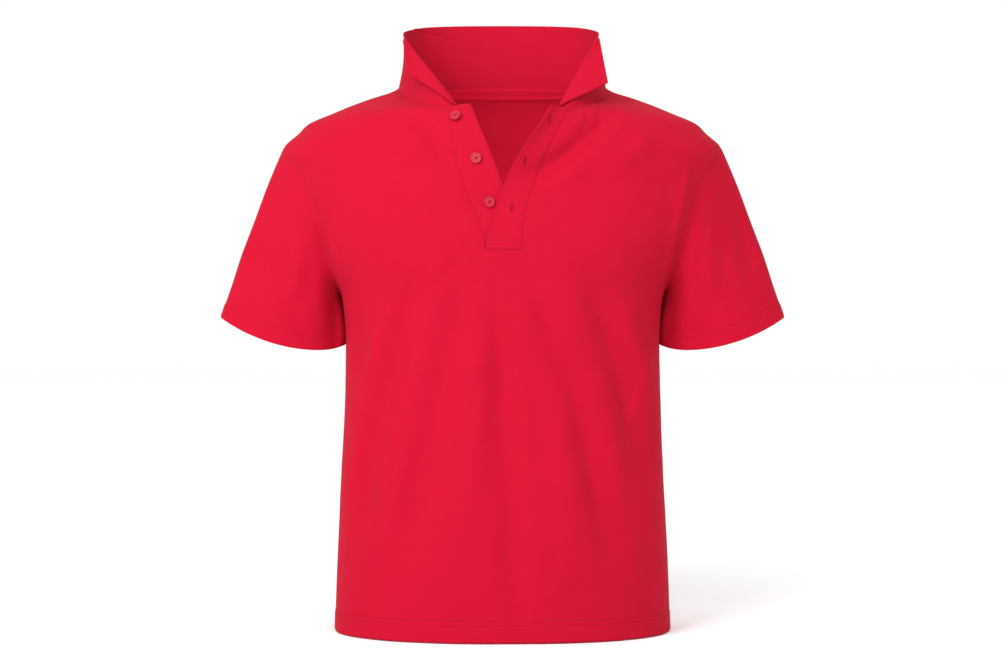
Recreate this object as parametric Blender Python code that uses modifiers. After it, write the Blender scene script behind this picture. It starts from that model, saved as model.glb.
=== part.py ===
"""Polo shirt, filled out as when worn, with its collar standing up.

Metres, +Z up, the shirt's front towards -Y.  The origin is the middle of the neck
opening, level with the ends of the shoulder seams.  Left and right are the viewer's.
"""

import math

import bmesh
import bpy
import numpy as np
from mathutils import Matrix, Vector

# Cloth and seams
WALL = 0.0013
HEM_WALL = 0.0024
BAND_WALL = 0.0020
TAPE_WALL = 0.0010
SEAM_GAP = 0.0006
CLEARANCE = 0.0003
HEM_HEIGHT = 0.024
HEM_STEP = 0.0006
HEM_STEP_RISE = 0.004
JOIN_DISTANCE = 0.00002

# Heights of the body's seams
HEM_LEVEL = -0.647
UNDERARM_LEVEL = -0.245
SHOULDER_TIP_LEVEL = -0.070
PLACKET_FOOT_LEVEL = -0.1993

# The body's level sections, each a superellipse
BODY_SECTIONS = (
    # level, half_width, front_depth, back_depth, squareness
    (-0.647, 0.2005, 0.1340, 0.1150, 2.30),
    (-0.560, 0.1975, 0.1310, 0.1120, 2.30),
    (-0.450, 0.1918, 0.1280, 0.1085, 2.30),
    (-0.350, 0.1880, 0.1260, 0.1070, 2.30),
    (-0.290, 0.1880, 0.1265, 0.1080, 2.30),
    (-0.245, 0.1905, 0.1275, 0.1095, 2.35),
    (-0.206, 0.2070, 0.1285, 0.1110, 2.50),
    (-0.146, 0.2350, 0.1280, 0.1120, 2.40),
    (-0.104, 0.2560, 0.1255, 0.1090, 2.20),
    (-0.070, 0.2600, 0.1225, 0.1040, 2.10),
    (-0.057, 0.2450, 0.1190, 0.1010, 2.10),
    (-0.044, 0.2310, 0.1130, 0.0970, 2.10),
    (-0.033, 0.2055, 0.1050, 0.0920, 2.05),
    (-0.0235, 0.1840, 0.0830, 0.0870, 2.00),
    (-0.014, 0.1590, 0.0600, 0.0800, 2.00),
    (-0.004, 0.1300, 0.0330, 0.0715, 2.00),
    (0.000, 0.1240, 0.0200, 0.0680, 2.00),
    (0.008, 0.1140, 0.0100, 0.0600, 2.00),
)

# Neck and armholes
NECK_HALF_WIDTH = 0.124
FRONT_NECK_DROP_LEFT = 0.038
FRONT_NECK_DROP_RIGHT = 0.043
BACK_NECK_RISE = 0.006
ARMHOLE_FRONT_REACH = 0.062
ARMHOLE_BACK_REACH = 0.058
FRONT_NECK_POWER = 0.9

# Placket seams and edges as seen from the front
LEFT_SEAM = (
    # level, across
    (-0.1993, -0.0188),
    (-0.1855, -0.0210),
    (-0.1410, -0.0395),
    (-0.1050, -0.0520),
    (-0.0710, -0.0580),
    (-0.0340, -0.0640),
)
RIGHT_SEAM = (
    # level, across
    (-0.1993, 0.0235),
    (-0.1879, 0.0224),
    (-0.1477, 0.0281),
    (-0.1070, 0.0419),
    (-0.0724, 0.0570),
    (-0.0340, 0.0780),
)
UNDER_EDGE = (
    # level, across
    (-0.1970, 0.0212),
    (-0.1820, 0.0178),
    (-0.1532, 0.0087),
    (-0.1243, -0.0005),
    (-0.0921, -0.0120),
    (-0.0610, -0.0246),
    (-0.0292, -0.0374),
)
OVER_EDGE = (
    # level, across
    (-0.1987, -0.0186),
    (-0.1872, -0.0180),
    (-0.1735, -0.0142),
    (-0.1586, -0.0096),
    (-0.1276, 0.0007),
    (-0.0955, 0.0167),
    (-0.0726, 0.0328),
    (-0.0500, 0.0489),
    (-0.0390, 0.0558),
)
OVER_EDGE_LIFT = 0.011
OVER_LIFT_START = -0.15
OVER_LIFT_END = -0.05
OVER_STEP = 0.0009
UNDER_STEP = 0.0004
UNDER_TUCK = 0.0021
TUCK_START = -0.108
TUCK_END = -0.142

# Collar: stations along its top edge, left front to right front
COLLAR_TOP = (
    # share, across, depth, level
    (0.000, -0.1146, -0.0500, 0.0530),
    (0.100, -0.1160, -0.0360, 0.0580),
    (0.200, -0.1166, -0.0200, 0.0627),
    (0.300, -0.1140, -0.0010, 0.0680),
    (0.350, -0.1062, 0.0240, 0.0740),
    (0.400, -0.0920, 0.0500, 0.0800),
    (0.450, -0.0540, 0.0740, 0.0850),
    (0.500, -0.0010, 0.0820, 0.0865),
    (0.550, 0.0515, 0.0740, 0.0850),
    (0.600, 0.0890, 0.0500, 0.0800),
    (0.650, 0.1030, 0.0240, 0.0740),
    (0.700, 0.1106, -0.0010, 0.0680),
    (0.800, 0.1130, -0.0200, 0.0630),
    (0.900, 0.1126, -0.0360, 0.0587),
    (1.000, 0.1112, -0.0500, 0.0540),
)
COLLAR_BOW = 0.0022
COLLAR_BOW_FADE = 0.15
LEFT_COLLAR_END = -0.055
RIGHT_COLLAR_END = 0.067
COLLAR_END_RISE = 0.002
LEFT_COLLAR_POINT = (-0.1100, -0.0780, 0.0085)
RIGHT_COLLAR_POINT = (0.1223, -0.0860, -0.0035)
FOLD_ROLL = 0.0023
FOLD_ROLL_SQUEEZE = 0.7
# The foot of a folded corner, from the end of the collar's lower edge
CORNER_FOOT_BACK = 0.006
CORNER_FOOT_OUT = 0.0045
CORNER_FOOT_UP = 0.0035

# Sleeves
SLEEVE_HEM_MIDDLE = (-0.2665, 0.003, -0.2945)
SLEEVE_HEM_HALF_WIDTH = 0.0741
SLEEVE_HEM_HALF_DEPTH = 0.042
SLEEVE_HEM_TILT = math.radians(15.2)
SLEEVE_HEM_SAG_FRONT = 0.013
SLEEVE_HEM_SAG_BACK = 0.007
SLEEVE_START_OVER_SHOULDER = 0.050
SLEEVE_START_AT_UNDERARM = 0.020
SLEEVE_SPREAD_AT_UNDERARM = 1.4
SLEEVE_SPREAD_TOP = 0.45
SLEEVE_END_PULL = 0.100
SLEEVE_FOLD_START = 0.15
SLEEVE_BACK_FOLD_SHIFT = 0.008

# Neck tape: its lower and upper edge below the neck seam
TAPE_EDGES = (0.0125, 0.0015)
TAPE_CLEARANCE = 0.0011

# Buttons
BUTTON_RADIUS = 0.0061
BUTTON_THICKNESS = 0.0026
BUTTON_HOLE_RADIUS = 0.0009
BUTTON_HOLE_SPREAD = 0.0018
BUTTON_SIDES = 16
BUTTON_SEAT_SHARE = 0.4
BUTTON_AXIS_MERGE = 0.00005
DRILL_SIDES = 6
DRILL_LENGTH = 0.01
BUTTON_PROFILE = (
    # share of radius, share of thickness
    (0.0, 0.62),
    (0.55, 0.62),
    (0.68, 0.98),
    (0.86, 1.0),
    (1.0, 0.62),
    (0.97, 0.22),
    (0.80, 0.0),
    (0.0, 0.0),
)
BUTTON_CLEARANCE = 0.0005
BUTTON_PLACES = (
    # across, level
    (-0.0530, -0.0465),
    (-0.0300, -0.0946),
    (-0.0151, -0.1448),
)

# Folds of the body as seen from the front, and like ones on the back
FRONT_FOLDS = (
    # start_across, start_level, end_across, end_level, bow, reach, height
    (-0.177, -0.270, -0.161, -0.384, 0.004, 0.013, -0.0049),
    (-0.096, -0.229, -0.176, -0.558, -0.008, 0.017, -0.0084),
    (-0.134, -0.250, -0.186, -0.540, -0.006, 0.014, 0.0042),
    (-0.048, -0.229, -0.126, -0.589, 0.004, 0.018, -0.0077),
    (-0.020, -0.250, -0.060, -0.600, 0.004, 0.018, 0.0042),
    (-0.005, -0.220, 0.021, -0.640, -0.004, 0.017, -0.0070),
    (0.031, -0.215, 0.131, -0.560, 0.006, 0.018, -0.0077),
    (0.060, -0.250, 0.075, -0.600, 0.006, 0.018, 0.0039),
    (0.098, -0.222, 0.172, -0.480, 0.005, 0.016, -0.0077),
    (0.140, -0.260, 0.176, -0.400, 0.004, 0.012, 0.0039),
    (-0.105, -0.044, -0.053, -0.107, 0.000, 0.012, -0.0049),
    (-0.166, -0.066, -0.120, -0.102, 0.000, 0.013, -0.0042),
    (0.129, -0.030, 0.021, -0.125, 0.006, 0.013, -0.0063),
    (0.175, -0.062, 0.110, -0.112, 0.004, 0.015, 0.0042),
    (-0.215, -0.100, -0.188, -0.290, -0.004, 0.012, 0.0049),
    (0.215, -0.100, 0.187, -0.290, 0.004, 0.012, 0.0049),
)
BACK_FOLDS = (
    # start_across, start_level, end_across, end_level, bow, reach, height
    (-0.150, -0.080, -0.095, -0.215, 0.008, 0.018, -0.0052),
    (0.155, -0.085, 0.090, -0.230, -0.006, 0.018, -0.0059),
    (-0.170, -0.250, -0.120, -0.560, 0.008, 0.018, -0.0065),
    (-0.105, -0.220, -0.070, -0.610, -0.006, 0.019, -0.0072),
    (-0.035, -0.180, -0.015, -0.560, 0.006, 0.020, -0.0059),
    (0.030, -0.260, 0.045, -0.630, -0.006, 0.018, -0.0065),
    (0.105, -0.210, 0.085, -0.590, 0.008, 0.020, -0.0072),
    (0.168, -0.260, 0.140, -0.540, -0.006, 0.017, -0.0059),
    (-0.140, -0.330, -0.095, -0.610, 0.004, 0.017, 0.0039),
    (0.140, -0.290, 0.115, -0.600, -0.004, 0.018, 0.0039),
)
SLEEVE_FOLDS = (
    # start_across, start_level, end_across, end_level, bow, reach, height
    (-0.238, -0.125, -0.250, -0.262, 0.004, 0.012, 0.0046),
    (-0.225, -0.140, -0.222, -0.270, 0.002, 0.010, -0.0039),
    (-0.272, -0.110, -0.296, -0.245, -0.003, 0.014, -0.0039),
)

# How folds fade at their ends, as shares of their length, and towards the side seams
FOLD_END_START = -0.08
FOLD_END_FULL = 0.25
FOLD_SIDE_FADE = 0.030

# Colours
RED_CLOTH = (0.62, 0.012, 0.03)
RED_RIB = (0.58, 0.011, 0.028)
RED_BUTTON = (0.50, 0.010, 0.025)
CLOTH_ROUGHNESS = 0.9
BUTTON_ROUGHNESS = 0.35

# Grid sizes
SIDE_ROWS = 18
ARMHOLE_ROWS = 12
PLACKET_FOOT_ROW = 20
SHOULDER_CELLS = 8
FRONT_NECK_CELLS = 8
BACK_NECK_CELLS = 12
PLACKET_GAP_CELLS = 3
SLEEVE_ROWS = 10
SLEEVE_FIRST_ROW = 0.022
COLLAR_ROWS = 6
FLAP_CELLS = 3
PLACKET_ROWS = 12
PLACKET_CELLS = 3
TOP_SHAPE_FADE = 5

BODY_ROWS = SIDE_ROWS + ARMHOLE_ROWS
HALF_TURN = math.pi / 2


def smooth_table(rows, column, at):
    """Read one column of a table at any key, on a smooth curve through its rows."""
    table = np.array(rows, dtype=float)
    keys, values = table[:, 0], table[:, column]
    slopes = np.gradient(values, keys)
    at = np.clip(at, keys[0], keys[-1])
    cell = np.clip(np.searchsorted(keys, at, side="right") - 1, 0, len(keys) - 2)
    span = keys[cell + 1] - keys[cell]
    t = (at - keys[cell]) / span
    return ((2 * t**3 - 3 * t**2 + 1) * values[cell]
            + (t**3 - 2 * t**2 + t) * span * slopes[cell]
            + (3 * t**2 - 2 * t**3) * values[cell + 1]
            + (t**3 - t**2) * span * slopes[cell + 1])


def ease(start, end, at):
    """A soft step from 0 at start to 1 at end."""
    t = np.clip((at - start) / (end - start), 0.0, 1.0)
    return t * t * (3 - 2 * t)


def fold_height(folds, across, level):
    """The height of a list of soft ridges and troughs over a smooth surface."""
    total = np.zeros_like(across)
    for start_x, start_z, end_x, end_z, bow, reach, height in folds:
        run_x, run_z = end_x - start_x, end_z - start_z
        length = math.hypot(run_x, run_z)
        t = ((across - start_x) * run_x + (level - start_z) * run_z) / length**2
        side = ((across - start_x) * run_z - (level - start_z) * run_x) / -length
        middle = bow * 4 * np.clip(t, 0, 1) * (1 - np.clip(t, 0, 1))
        fade = (ease(FOLD_END_START, FOLD_END_FULL, t)
                * ease(FOLD_END_START, FOLD_END_FULL, 1 - t))
        total += height * fade * np.exp(-((side - middle) / reach) ** 2)
    return total


def section(level, facing):
    """Half width, depth and squareness of the body at a level; facing is -1 in front."""
    depth_column = 2 if facing < 0 else 3
    return (smooth_table(BODY_SECTIONS, 1, level),
            smooth_table(BODY_SECTIONS, depth_column, level),
            smooth_table(BODY_SECTIONS, 4, level))


def plain_body(turn, level, facing):
    """A point of the body without folds; turn is 0 in the middle, 90 degrees at a side."""
    width, depth, square = section(level, facing)
    radius = ((np.abs(np.sin(turn)) / width) ** square
              + (np.abs(np.cos(turn)) / depth) ** square) ** (-1 / square)
    return np.stack([radius * np.sin(turn), facing * radius * np.cos(turn), level], axis=-1)


def surface_normal(surface, turn, level, facing):
    """The outward direction of a body surface, from small steps along it."""
    small_turn, small_rise = 0.004, 0.0006
    along = surface(turn + small_turn, level, facing) - surface(turn - small_turn, level, facing)
    up = surface(turn, level + small_rise, facing) - surface(turn, level - small_rise, facing)
    normal = np.cross(along, up) * -facing
    return normal / np.linalg.norm(normal, axis=-1, keepdims=True)


def body_point(turn, level, facing, lift=0.0):
    """A point of the shirt's body with its folds, moved out by lift."""
    turn, level = np.broadcast_arrays(np.asarray(turn, float), np.asarray(level, float))
    point = plain_body(turn, level, facing)
    normal = surface_normal(plain_body, turn, level, facing)
    folds = FRONT_FOLDS if facing < 0 else BACK_FOLDS
    # Folds die out at the sides, where front and back meet
    edge = ease(0.0, FOLD_SIDE_FADE, np.abs(point[..., 1]))
    height = fold_height(folds, point[..., 0], level) * edge
    hem_top = HEM_LEVEL + HEM_HEIGHT
    hem = HEM_STEP * ease(hem_top, hem_top - HEM_STEP_RISE, level)
    return point + normal * (height + hem + lift)[..., None]


def turn_from_across(across, level, facing):
    """The turn at which the body passes a place given across the front view."""
    width, depth, square = section(level, facing)
    share = np.clip(1 - np.abs(across / width) ** square, 0, 1)
    return np.arctan2(across, depth * share ** (1 / square))


def turn_from_depth(depth_place, level, facing):
    """The turn at which the body passes a place given by its depth."""
    width, depth, square = section(level, facing)
    share = np.clip(1 - np.abs(depth_place / depth) ** square, 0, 1)
    return np.arctan2(width * share ** (1 / square), np.abs(depth_place))


def shoulder_seam(share):
    """Level of the shoulder seam, from its tip at 0 to the neck at 1."""
    levels = np.linspace(SHOULDER_TIP_LEVEL, 0.0, 200)
    widths = smooth_table(BODY_SECTIONS, 1, levels)
    tip, neck = widths[0], widths[-1]
    wanted = tip + (neck - tip) * share
    return np.interp(-wanted, -widths, levels)


def side_edge(facing):
    """Turn and level up a panel's side: side seam, then armhole, for the positive side."""
    seam_levels = np.linspace(HEM_LEVEL, UNDERARM_LEVEL, SIDE_ROWS + 1)
    reach = ARMHOLE_FRONT_REACH if facing < 0 else ARMHOLE_BACK_REACH
    rise = (SHOULDER_TIP_LEVEL - UNDERARM_LEVEL) / 2
    angles = np.linspace(0, math.pi, ARMHOLE_ROWS + 1)[1:]
    hole_levels = UNDERARM_LEVEL + rise * (1 - np.cos(angles))
    hole_turns = turn_from_depth(reach * np.sin(angles), hole_levels, facing)
    levels = np.concatenate([seam_levels, hole_levels])
    turns = np.concatenate([np.full(SIDE_ROWS + 1, HALF_TURN), hole_turns])
    half_gap = SEAM_GAP / 2 / section(levels, facing)[0]
    return np.minimum(turns, HALF_TURN - half_gap), levels


def neck_edge(facing, side):
    """Turn and level along half a neckline, from the shoulder towards the middle."""
    if facing > 0:
        angles = np.linspace(0, HALF_TURN, BACK_NECK_CELLS // 2 + 1)
        levels = BACK_NECK_RISE * np.sin(angles) ** 2
    else:
        seam = LEFT_SEAM if side < 0 else RIGHT_SEAM
        last = math.acos(abs(seam[-1][1]) / NECK_HALF_WIDTH)
        angles = np.linspace(0, last, FRONT_NECK_CELLS + 1)
        drop = FRONT_NECK_DROP_LEFT if side < 0 else FRONT_NECK_DROP_RIGHT
        levels = -drop * np.sin(angles) ** FRONT_NECK_POWER
    turns = turn_from_across(NECK_HALF_WIDTH * np.cos(angles), levels, facing)
    half_gap = SEAM_GAP / 2 / NECK_HALF_WIDTH
    return np.minimum(turns, HALF_TURN - half_gap), levels


def fill_patch(bottom, top, left, right):
    """Fill a four-sided patch of turn and level pairs; rows go up, columns go across.

    The top edge's shape fades quickly, so that the rows beside the armhole stay in order.
    """
    u = np.linspace(0, 1, len(bottom))[None, :, None]
    v = np.linspace(0, 1, len(left))[:, None, None]
    across = (1 - u) * left[:, None] + u * right[:, None]
    bottom_shape = bottom - (1 - u) * bottom[0] - u * bottom[-1]
    top_shape = top - (1 - u) * top[0] - u * top[-1]
    return across + (1 - v) * bottom_shape + v**TOP_SHAPE_FADE * top_shape


def pairs(turns, levels):
    """Turn and level side by side."""
    return np.stack(np.broadcast_arrays(turns, levels), axis=-1)


def panel_half(facing, side, middle_edge):
    """The turn and level grid of one half of a panel, from its side to its middle edge."""
    turns, levels = side_edge(facing)
    outer = pairs(turns, levels)
    seam_levels = shoulder_seam(np.linspace(0, 1, SHOULDER_CELLS + 1)[:-1])
    half_gap = SEAM_GAP / 2 / section(seam_levels, facing)[0]
    shoulder = pairs(HALF_TURN - half_gap, seam_levels)
    top = np.concatenate([shoulder, pairs(*neck_edge(facing, side))])
    bottom = pairs(np.linspace(outer[0, 0], middle_edge[0, 0], len(top)), HEM_LEVEL)
    return fill_patch(bottom, top, outer, middle_edge)


def placket_seam_edge(side):
    """The front panel's edge beside the placket, and straight down below it."""
    table = LEFT_SEAM if side < 0 else RIGHT_SEAM
    low = np.linspace(HEM_LEVEL, PLACKET_FOOT_LEVEL, PLACKET_FOOT_ROW + 1)
    top_level = neck_edge(-1, side)[1][-1]
    high = np.linspace(PLACKET_FOOT_LEVEL, top_level, BODY_ROWS - PLACKET_FOOT_ROW + 1)[1:]
    levels = np.concatenate([low, high])
    across = np.abs(smooth_table(table, 1, levels))
    return pairs(turn_from_across(across, levels, -1), levels)


def front_grid():
    """Points of the whole front panel; the placket's slot is cut out afterwards."""
    left_edge, right_edge = placket_seam_edge(-1), placket_seam_edge(1)
    left = panel_half(-1, -1, left_edge) * (-1, 1)
    right = panel_half(-1, 1, right_edge)[:, ::-1]
    share = np.linspace(0, 1, PLACKET_GAP_CELLS + 1)[None, 1:-1, None]
    middle = left[:, -1:] * (1 - share) + right[:, :1] * share
    grid = np.concatenate([left, middle, right], axis=1)
    return body_point(grid[..., 0], grid[..., 1], -1)


def back_grid():
    """Points of the whole back panel, from the viewer's right to the left."""
    levels = np.linspace(HEM_LEVEL, BACK_NECK_RISE, BODY_ROWS + 1)
    half = panel_half(1, 1, pairs(0.0, levels))
    other = half[:, ::-1] * (-1, 1)
    grid = np.concatenate([half, other[:, 1:]], axis=1)
    return body_point(grid[..., 0], grid[..., 1], 1)


def sleeve_grid(side):
    """Points of a sleeve: round from the underarm over the front, and down to the hem."""
    rings = []
    for facing, backwards in ((-1, False), (1, True)):
        turns, levels = (edge[SIDE_ROWS:] for edge in side_edge(facing))
        turns = turns.copy()
        turns[[0, -1]] = HALF_TURN
        start = body_point(side * turns, levels, facing)
        normal = surface_normal(body_point, side * turns, levels, facing)
        run = np.gradient(start, axis=0)
        away = np.cross(run, normal) * -facing * side
        away /= np.linalg.norm(away, axis=-1, keepdims=True)
        stack = np.concatenate([start, away], axis=1)
        rings.append(stack[::-1][1:-1] if backwards else stack)
    ring = np.concatenate(rings)
    ring[0, 3:] = (0, 0, 1)
    start, away = ring[:, :3], ring[:, 3:]
    high = (start[:, 2] - UNDERARM_LEVEL) / (SHOULDER_TIP_LEVEL - UNDERARM_LEVEL)
    # Low on the armhole the sleeve turns straight out from the body
    away[:, 0] += side * SLEEVE_SPREAD_AT_UNDERARM * ease(SLEEVE_SPREAD_TOP, 0.0, high)
    away /= np.linalg.norm(away, axis=-1, keepdims=True)
    pull = SLEEVE_START_AT_UNDERARM + (SLEEVE_START_OVER_SHOULDER
                                       - SLEEVE_START_AT_UNDERARM) * high
    angle = np.linspace(0, 2 * math.pi, len(ring) + 1)[:-1]
    outward = np.array([side * math.cos(SLEEVE_HEM_TILT), 0, math.sin(SLEEVE_HEM_TILT)])
    down = np.array([side * math.sin(SLEEVE_HEM_TILT), 0, -math.cos(SLEEVE_HEM_TILT)])
    middle = np.array(SLEEVE_HEM_MIDDLE) * (-side, 1, 1)
    sag = np.where(np.sin(angle) > 0, SLEEVE_HEM_SAG_FRONT, SLEEVE_HEM_SAG_BACK)
    end = (middle - SLEEVE_HEM_HALF_WIDTH * np.cos(angle)[:, None] * outward
           - SLEEVE_HEM_HALF_DEPTH * np.sin(angle)[:, None] * (0, 1, 0)
           - (sag * np.sin(angle) ** 2)[:, None] * (0, 0, 1))
    start = start + away * SEAM_GAP
    t = np.concatenate([[0], np.linspace(SLEEVE_FIRST_ROW, 1, SLEEVE_ROWS)])[:, None, None]
    grid = ((2 * t**3 - 3 * t**2 + 1) * start
            + (t**3 - 2 * t**2 + t) * pull[:, None] * away
            + (3 * t**2 - 2 * t**3) * end
            + (t**3 - t**2) * SLEEVE_END_PULL * down)
    begun = ease(0.0, SLEEVE_FOLD_START, t[..., 0])
    front = ease(0.0, FOLD_SIDE_FADE, -grid[..., 1]) * begun
    across = -np.abs(grid[..., 0])
    grid[..., 1] -= fold_height(SLEEVE_FOLDS, across, grid[..., 2]) * front
    back = ease(0.0, FOLD_SIDE_FADE, grid[..., 1]) * begun
    grid[..., 1] += fold_height(SLEEVE_FOLDS, across - SLEEVE_BACK_FOLD_SHIFT,
                                grid[..., 2]) * back
    grid = np.concatenate([grid, grid[:, :1]], axis=1)
    return grid if side < 0 else grid[:, ::-1]


def placket_grid(side):
    """Points of a placket band, from its foot to the neck; rows go up."""
    seam, edge = (LEFT_SEAM, UNDER_EDGE) if side < 0 else (RIGHT_SEAM, OVER_EDGE)
    rise = np.linspace(0, 1, PLACKET_ROWS + 1)[:, None]
    share = np.linspace(0, 1, PLACKET_CELLS + 1)[None, :]
    foot = PLACKET_FOOT_LEVEL + CLEARANCE
    seam_top = neck_edge(-1, side)[1][-1]
    seam_level = foot + (seam_top - foot) * rise
    edge_level = foot + (edge[-1][0] - foot) * rise
    seam_across = smooth_table(seam, 1, seam_level) - side * CLEARANCE
    edge_across = smooth_table(edge, 1, edge_level)
    level = seam_level * (1 - share) + edge_level * share
    across = seam_across * (1 - share) + edge_across * share
    if side < 0:
        lift = UNDER_STEP - (UNDER_STEP + UNDER_TUCK) * ease(TUCK_START, TUCK_END, level)
    else:
        opened = ease(OVER_LIFT_START, OVER_LIFT_END, level)
        lift = OVER_STEP + OVER_EDGE_LIFT * share**2 * opened
    points = body_point(turn_from_across(across, level, -1), level, -1, lift)
    return points if side < 0 else points[:, ::-1]


def collar_base():
    """Points of the collar's lower edge, along the plackets' tops and the necklines."""
    def run(facing, side, order):
        turns, levels = neck_edge(facing, side)
        points = body_point(side * turns, levels, facing)
        return points[::order]
    left_front, right_front = run(-1, -1, -1), run(-1, 1, 1)
    left_back, right_back = run(1, -1, 1), run(1, 1, -1)
    ends = []
    for across, corner in ((LEFT_COLLAR_END, left_front[0]), (RIGHT_COLLAR_END, right_front[-1])):
        level = corner[2] + COLLAR_END_RISE
        ends.append(body_point(turn_from_across(across, level, -1), level, -1)[None])
    left_front[-1, 1] = 0
    right_front[0, 1] = 0
    base = np.concatenate([ends[0], left_front, left_back[1:], right_back[1:-1],
                           right_front, ends[1]])
    return base + (0, 0, SEAM_GAP)


def collar_grid():
    """Points of the collar: left folded corner, standing part, right folded corner."""
    base = collar_base()
    share = np.linspace(0, 1, len(base))
    top = np.stack([smooth_table(COLLAR_TOP, column, share) for column in (1, 2, 3)], axis=-1)
    t = np.linspace(0, 1, COLLAR_ROWS + 1)[:, None, None]
    stand = (1 - t) * base + t * top
    inward = np.cross(np.gradient(stand, axis=1), np.gradient(stand, axis=0))
    inward /= np.linalg.norm(inward, axis=-1, keepdims=True)
    bow = COLLAR_BOW * ease(0, COLLAR_BOW_FADE, share) * ease(0, COLLAR_BOW_FADE, 1 - share)
    stand = stand + inward * np.sin(math.pi * t) * bow[:, None]
    left = folded_corner(stand[:, 0], stand[:, 1], -inward[:, 0], LEFT_COLLAR_POINT)
    right = folded_corner(stand[:, -1], stand[:, -2], -inward[:, -1], RIGHT_COLLAR_POINT)
    return np.concatenate([left[:, ::-1], stand, right], axis=1)


def folded_corner(fold, inner, outward, tip):
    """Columns of a corner folded outward over the fold line, the roll first."""
    ahead = fold - inner
    ahead /= np.linalg.norm(ahead, axis=-1, keepdims=True)
    low = (fold[0] - ahead[0] * CORNER_FOOT_BACK + outward[0] * CORNER_FOOT_OUT
           + (0, 0, CORNER_FOOT_UP))
    t = np.linspace(0, 1, len(fold))[:, None]
    outer_edge = (1 - t) * low + t * np.array(tip)
    columns = [fold + ahead * FOLD_ROLL * FOLD_ROLL_SQUEEZE + outward * FOLD_ROLL]
    start = fold + outward * 2 * FOLD_ROLL
    for step in range(FLAP_CELLS + 1):
        s = step / FLAP_CELLS
        columns.append(start * (1 - s) + outer_edge * s)
    return np.stack(columns, axis=1)


def tape_grid():
    """Points of the neck tape: the back panel's own top cells, moved in."""
    first = SHOULDER_CELLS + 1
    last = SHOULDER_CELLS + BACK_NECK_CELLS
    grid = back_grid()[:, first:last]
    top, below = grid[-1], grid[-2]
    down = below - top
    down /= np.linalg.norm(down, axis=-1, keepdims=True)
    inward = np.cross(np.gradient(top, axis=0), down)
    inward /= np.linalg.norm(inward, axis=-1, keepdims=True)
    places = np.array(TAPE_EDGES)[:, None, None]
    return top + down * places + inward * (WALL + TAPE_CLEARANCE)


def make_material(name, colour, roughness):
    """A plain Principled material."""
    material = bpy.data.materials.new(name)
    material.use_nodes = True
    shader = material.node_tree.nodes["Principled BSDF"]
    shader.inputs["Base Color"].default_value = (*colour, 1)
    shader.inputs["Roughness"].default_value = roughness
    shader.inputs["Metallic"].default_value = 0
    material.diffuse_color = (*colour, 1)
    return material


def finish(piece, collection, material):
    """Put a piece in the shirt's collection, with its material and smooth shading."""
    for other in piece.users_collection:
        other.objects.unlink(piece)
    collection.objects.link(piece)
    piece.data.materials.clear()
    piece.data.materials.append(material)
    piece.data.shade_smooth()


def cut_slot(mesh, places, slot):
    """Drop the grid cells of a slot; gives the places of the vertices that stay."""
    first_column, last_column, first_row = slot
    doomed = set()
    for face in mesh.faces:
        column, row = np.mean([places[v.index] for v in face.verts], axis=0)
        if first_column < column < last_column and row > first_row:
            doomed.add(face)
    kept = [places[v.index] for v in mesh.verts if not doomed.issuperset(v.link_faces)]
    bmesh.ops.delete(mesh, geom=list(doomed), context="FACES")
    return kept


def cloth_piece(name, points, wall, hem_rows=(), closed=False, slot=None):
    """Lay a plane grid on a grid of points and give it a wall on its inner side."""
    rows, columns = points.shape[0] - 1, points.shape[1] - 1
    bpy.ops.mesh.primitive_grid_add(x_subdivisions=columns, y_subdivisions=rows, size=1)
    piece = bpy.context.object
    piece.name = name
    piece.data.name = name
    places = [(round((v.co.x + 0.5) * columns), round((v.co.y + 0.5) * rows))
              for v in piece.data.vertices]
    mesh = bmesh.new()
    mesh.from_mesh(piece.data)
    if slot:
        places = cut_slot(mesh, places, slot)
    share = mesh.verts.layers.deform.verify()
    for vertex, (column, row) in zip(mesh.verts, places):
        vertex.co = points[row, column]
        vertex[share][0] = 1.0 if row in hem_rows else wall / HEM_WALL
    if closed:
        bmesh.ops.remove_doubles(mesh, verts=mesh.verts, dist=JOIN_DISTANCE)
    mesh.to_mesh(piece.data)
    mesh.free()
    # The wall grows to the hem's double thickness where the cloth is turned up
    piece.vertex_groups.new(name="wall_share")
    solidify = piece.modifiers.new("wall", "SOLIDIFY")
    solidify.thickness = HEM_WALL
    solidify.vertex_group = "wall_share"
    solidify.offset = -1
    return piece


def button(name, place, collection, cutters, material):
    """A turned button with a raised rim and four sewing holes, seated on its placket."""
    data = bpy.data.meshes.new(name)
    outline = bmesh.new()
    corners = [outline.verts.new((BUTTON_RADIUS * r, 0, BUTTON_THICKNESS * h))
               for r, h in BUTTON_PROFILE]
    for first, second in zip(corners, corners[1:]):
        outline.edges.new((first, second))
    outline.to_mesh(data)
    outline.free()
    piece = bpy.data.objects.new(name, data)
    collection.objects.link(piece)
    screw = piece.modifiers.new("turn", "SCREW")
    screw.axis = "Z"
    screw.steps = BUTTON_SIDES
    screw.render_steps = BUTTON_SIDES
    screw.use_merge_vertices = True
    screw.merge_threshold = BUTTON_AXIS_MERGE
    piece.matrix_world = button_seat(place)
    for number in range(4):
        angle = (number + 0.5) * HALF_TURN
        middle = Vector((math.cos(angle), math.sin(angle), 0)) * BUTTON_HOLE_SPREAD
        bpy.ops.mesh.primitive_cylinder_add(vertices=DRILL_SIDES, radius=BUTTON_HOLE_RADIUS,
                                            depth=DRILL_LENGTH)
        drill = bpy.context.object
        drill.name = f"{name}_drill_{number + 1}"
        drill.matrix_world = piece.matrix_world @ Matrix.Translation(middle)
        drill.hide_render = True
        drill.display_type = "WIRE"
        for other in drill.users_collection:
            other.objects.unlink(drill)
        cutters.objects.link(drill)
        cut = piece.modifiers.new(drill.name, "BOOLEAN")
        cut.object = drill
    finish(piece, collection, material)
    return piece


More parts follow.
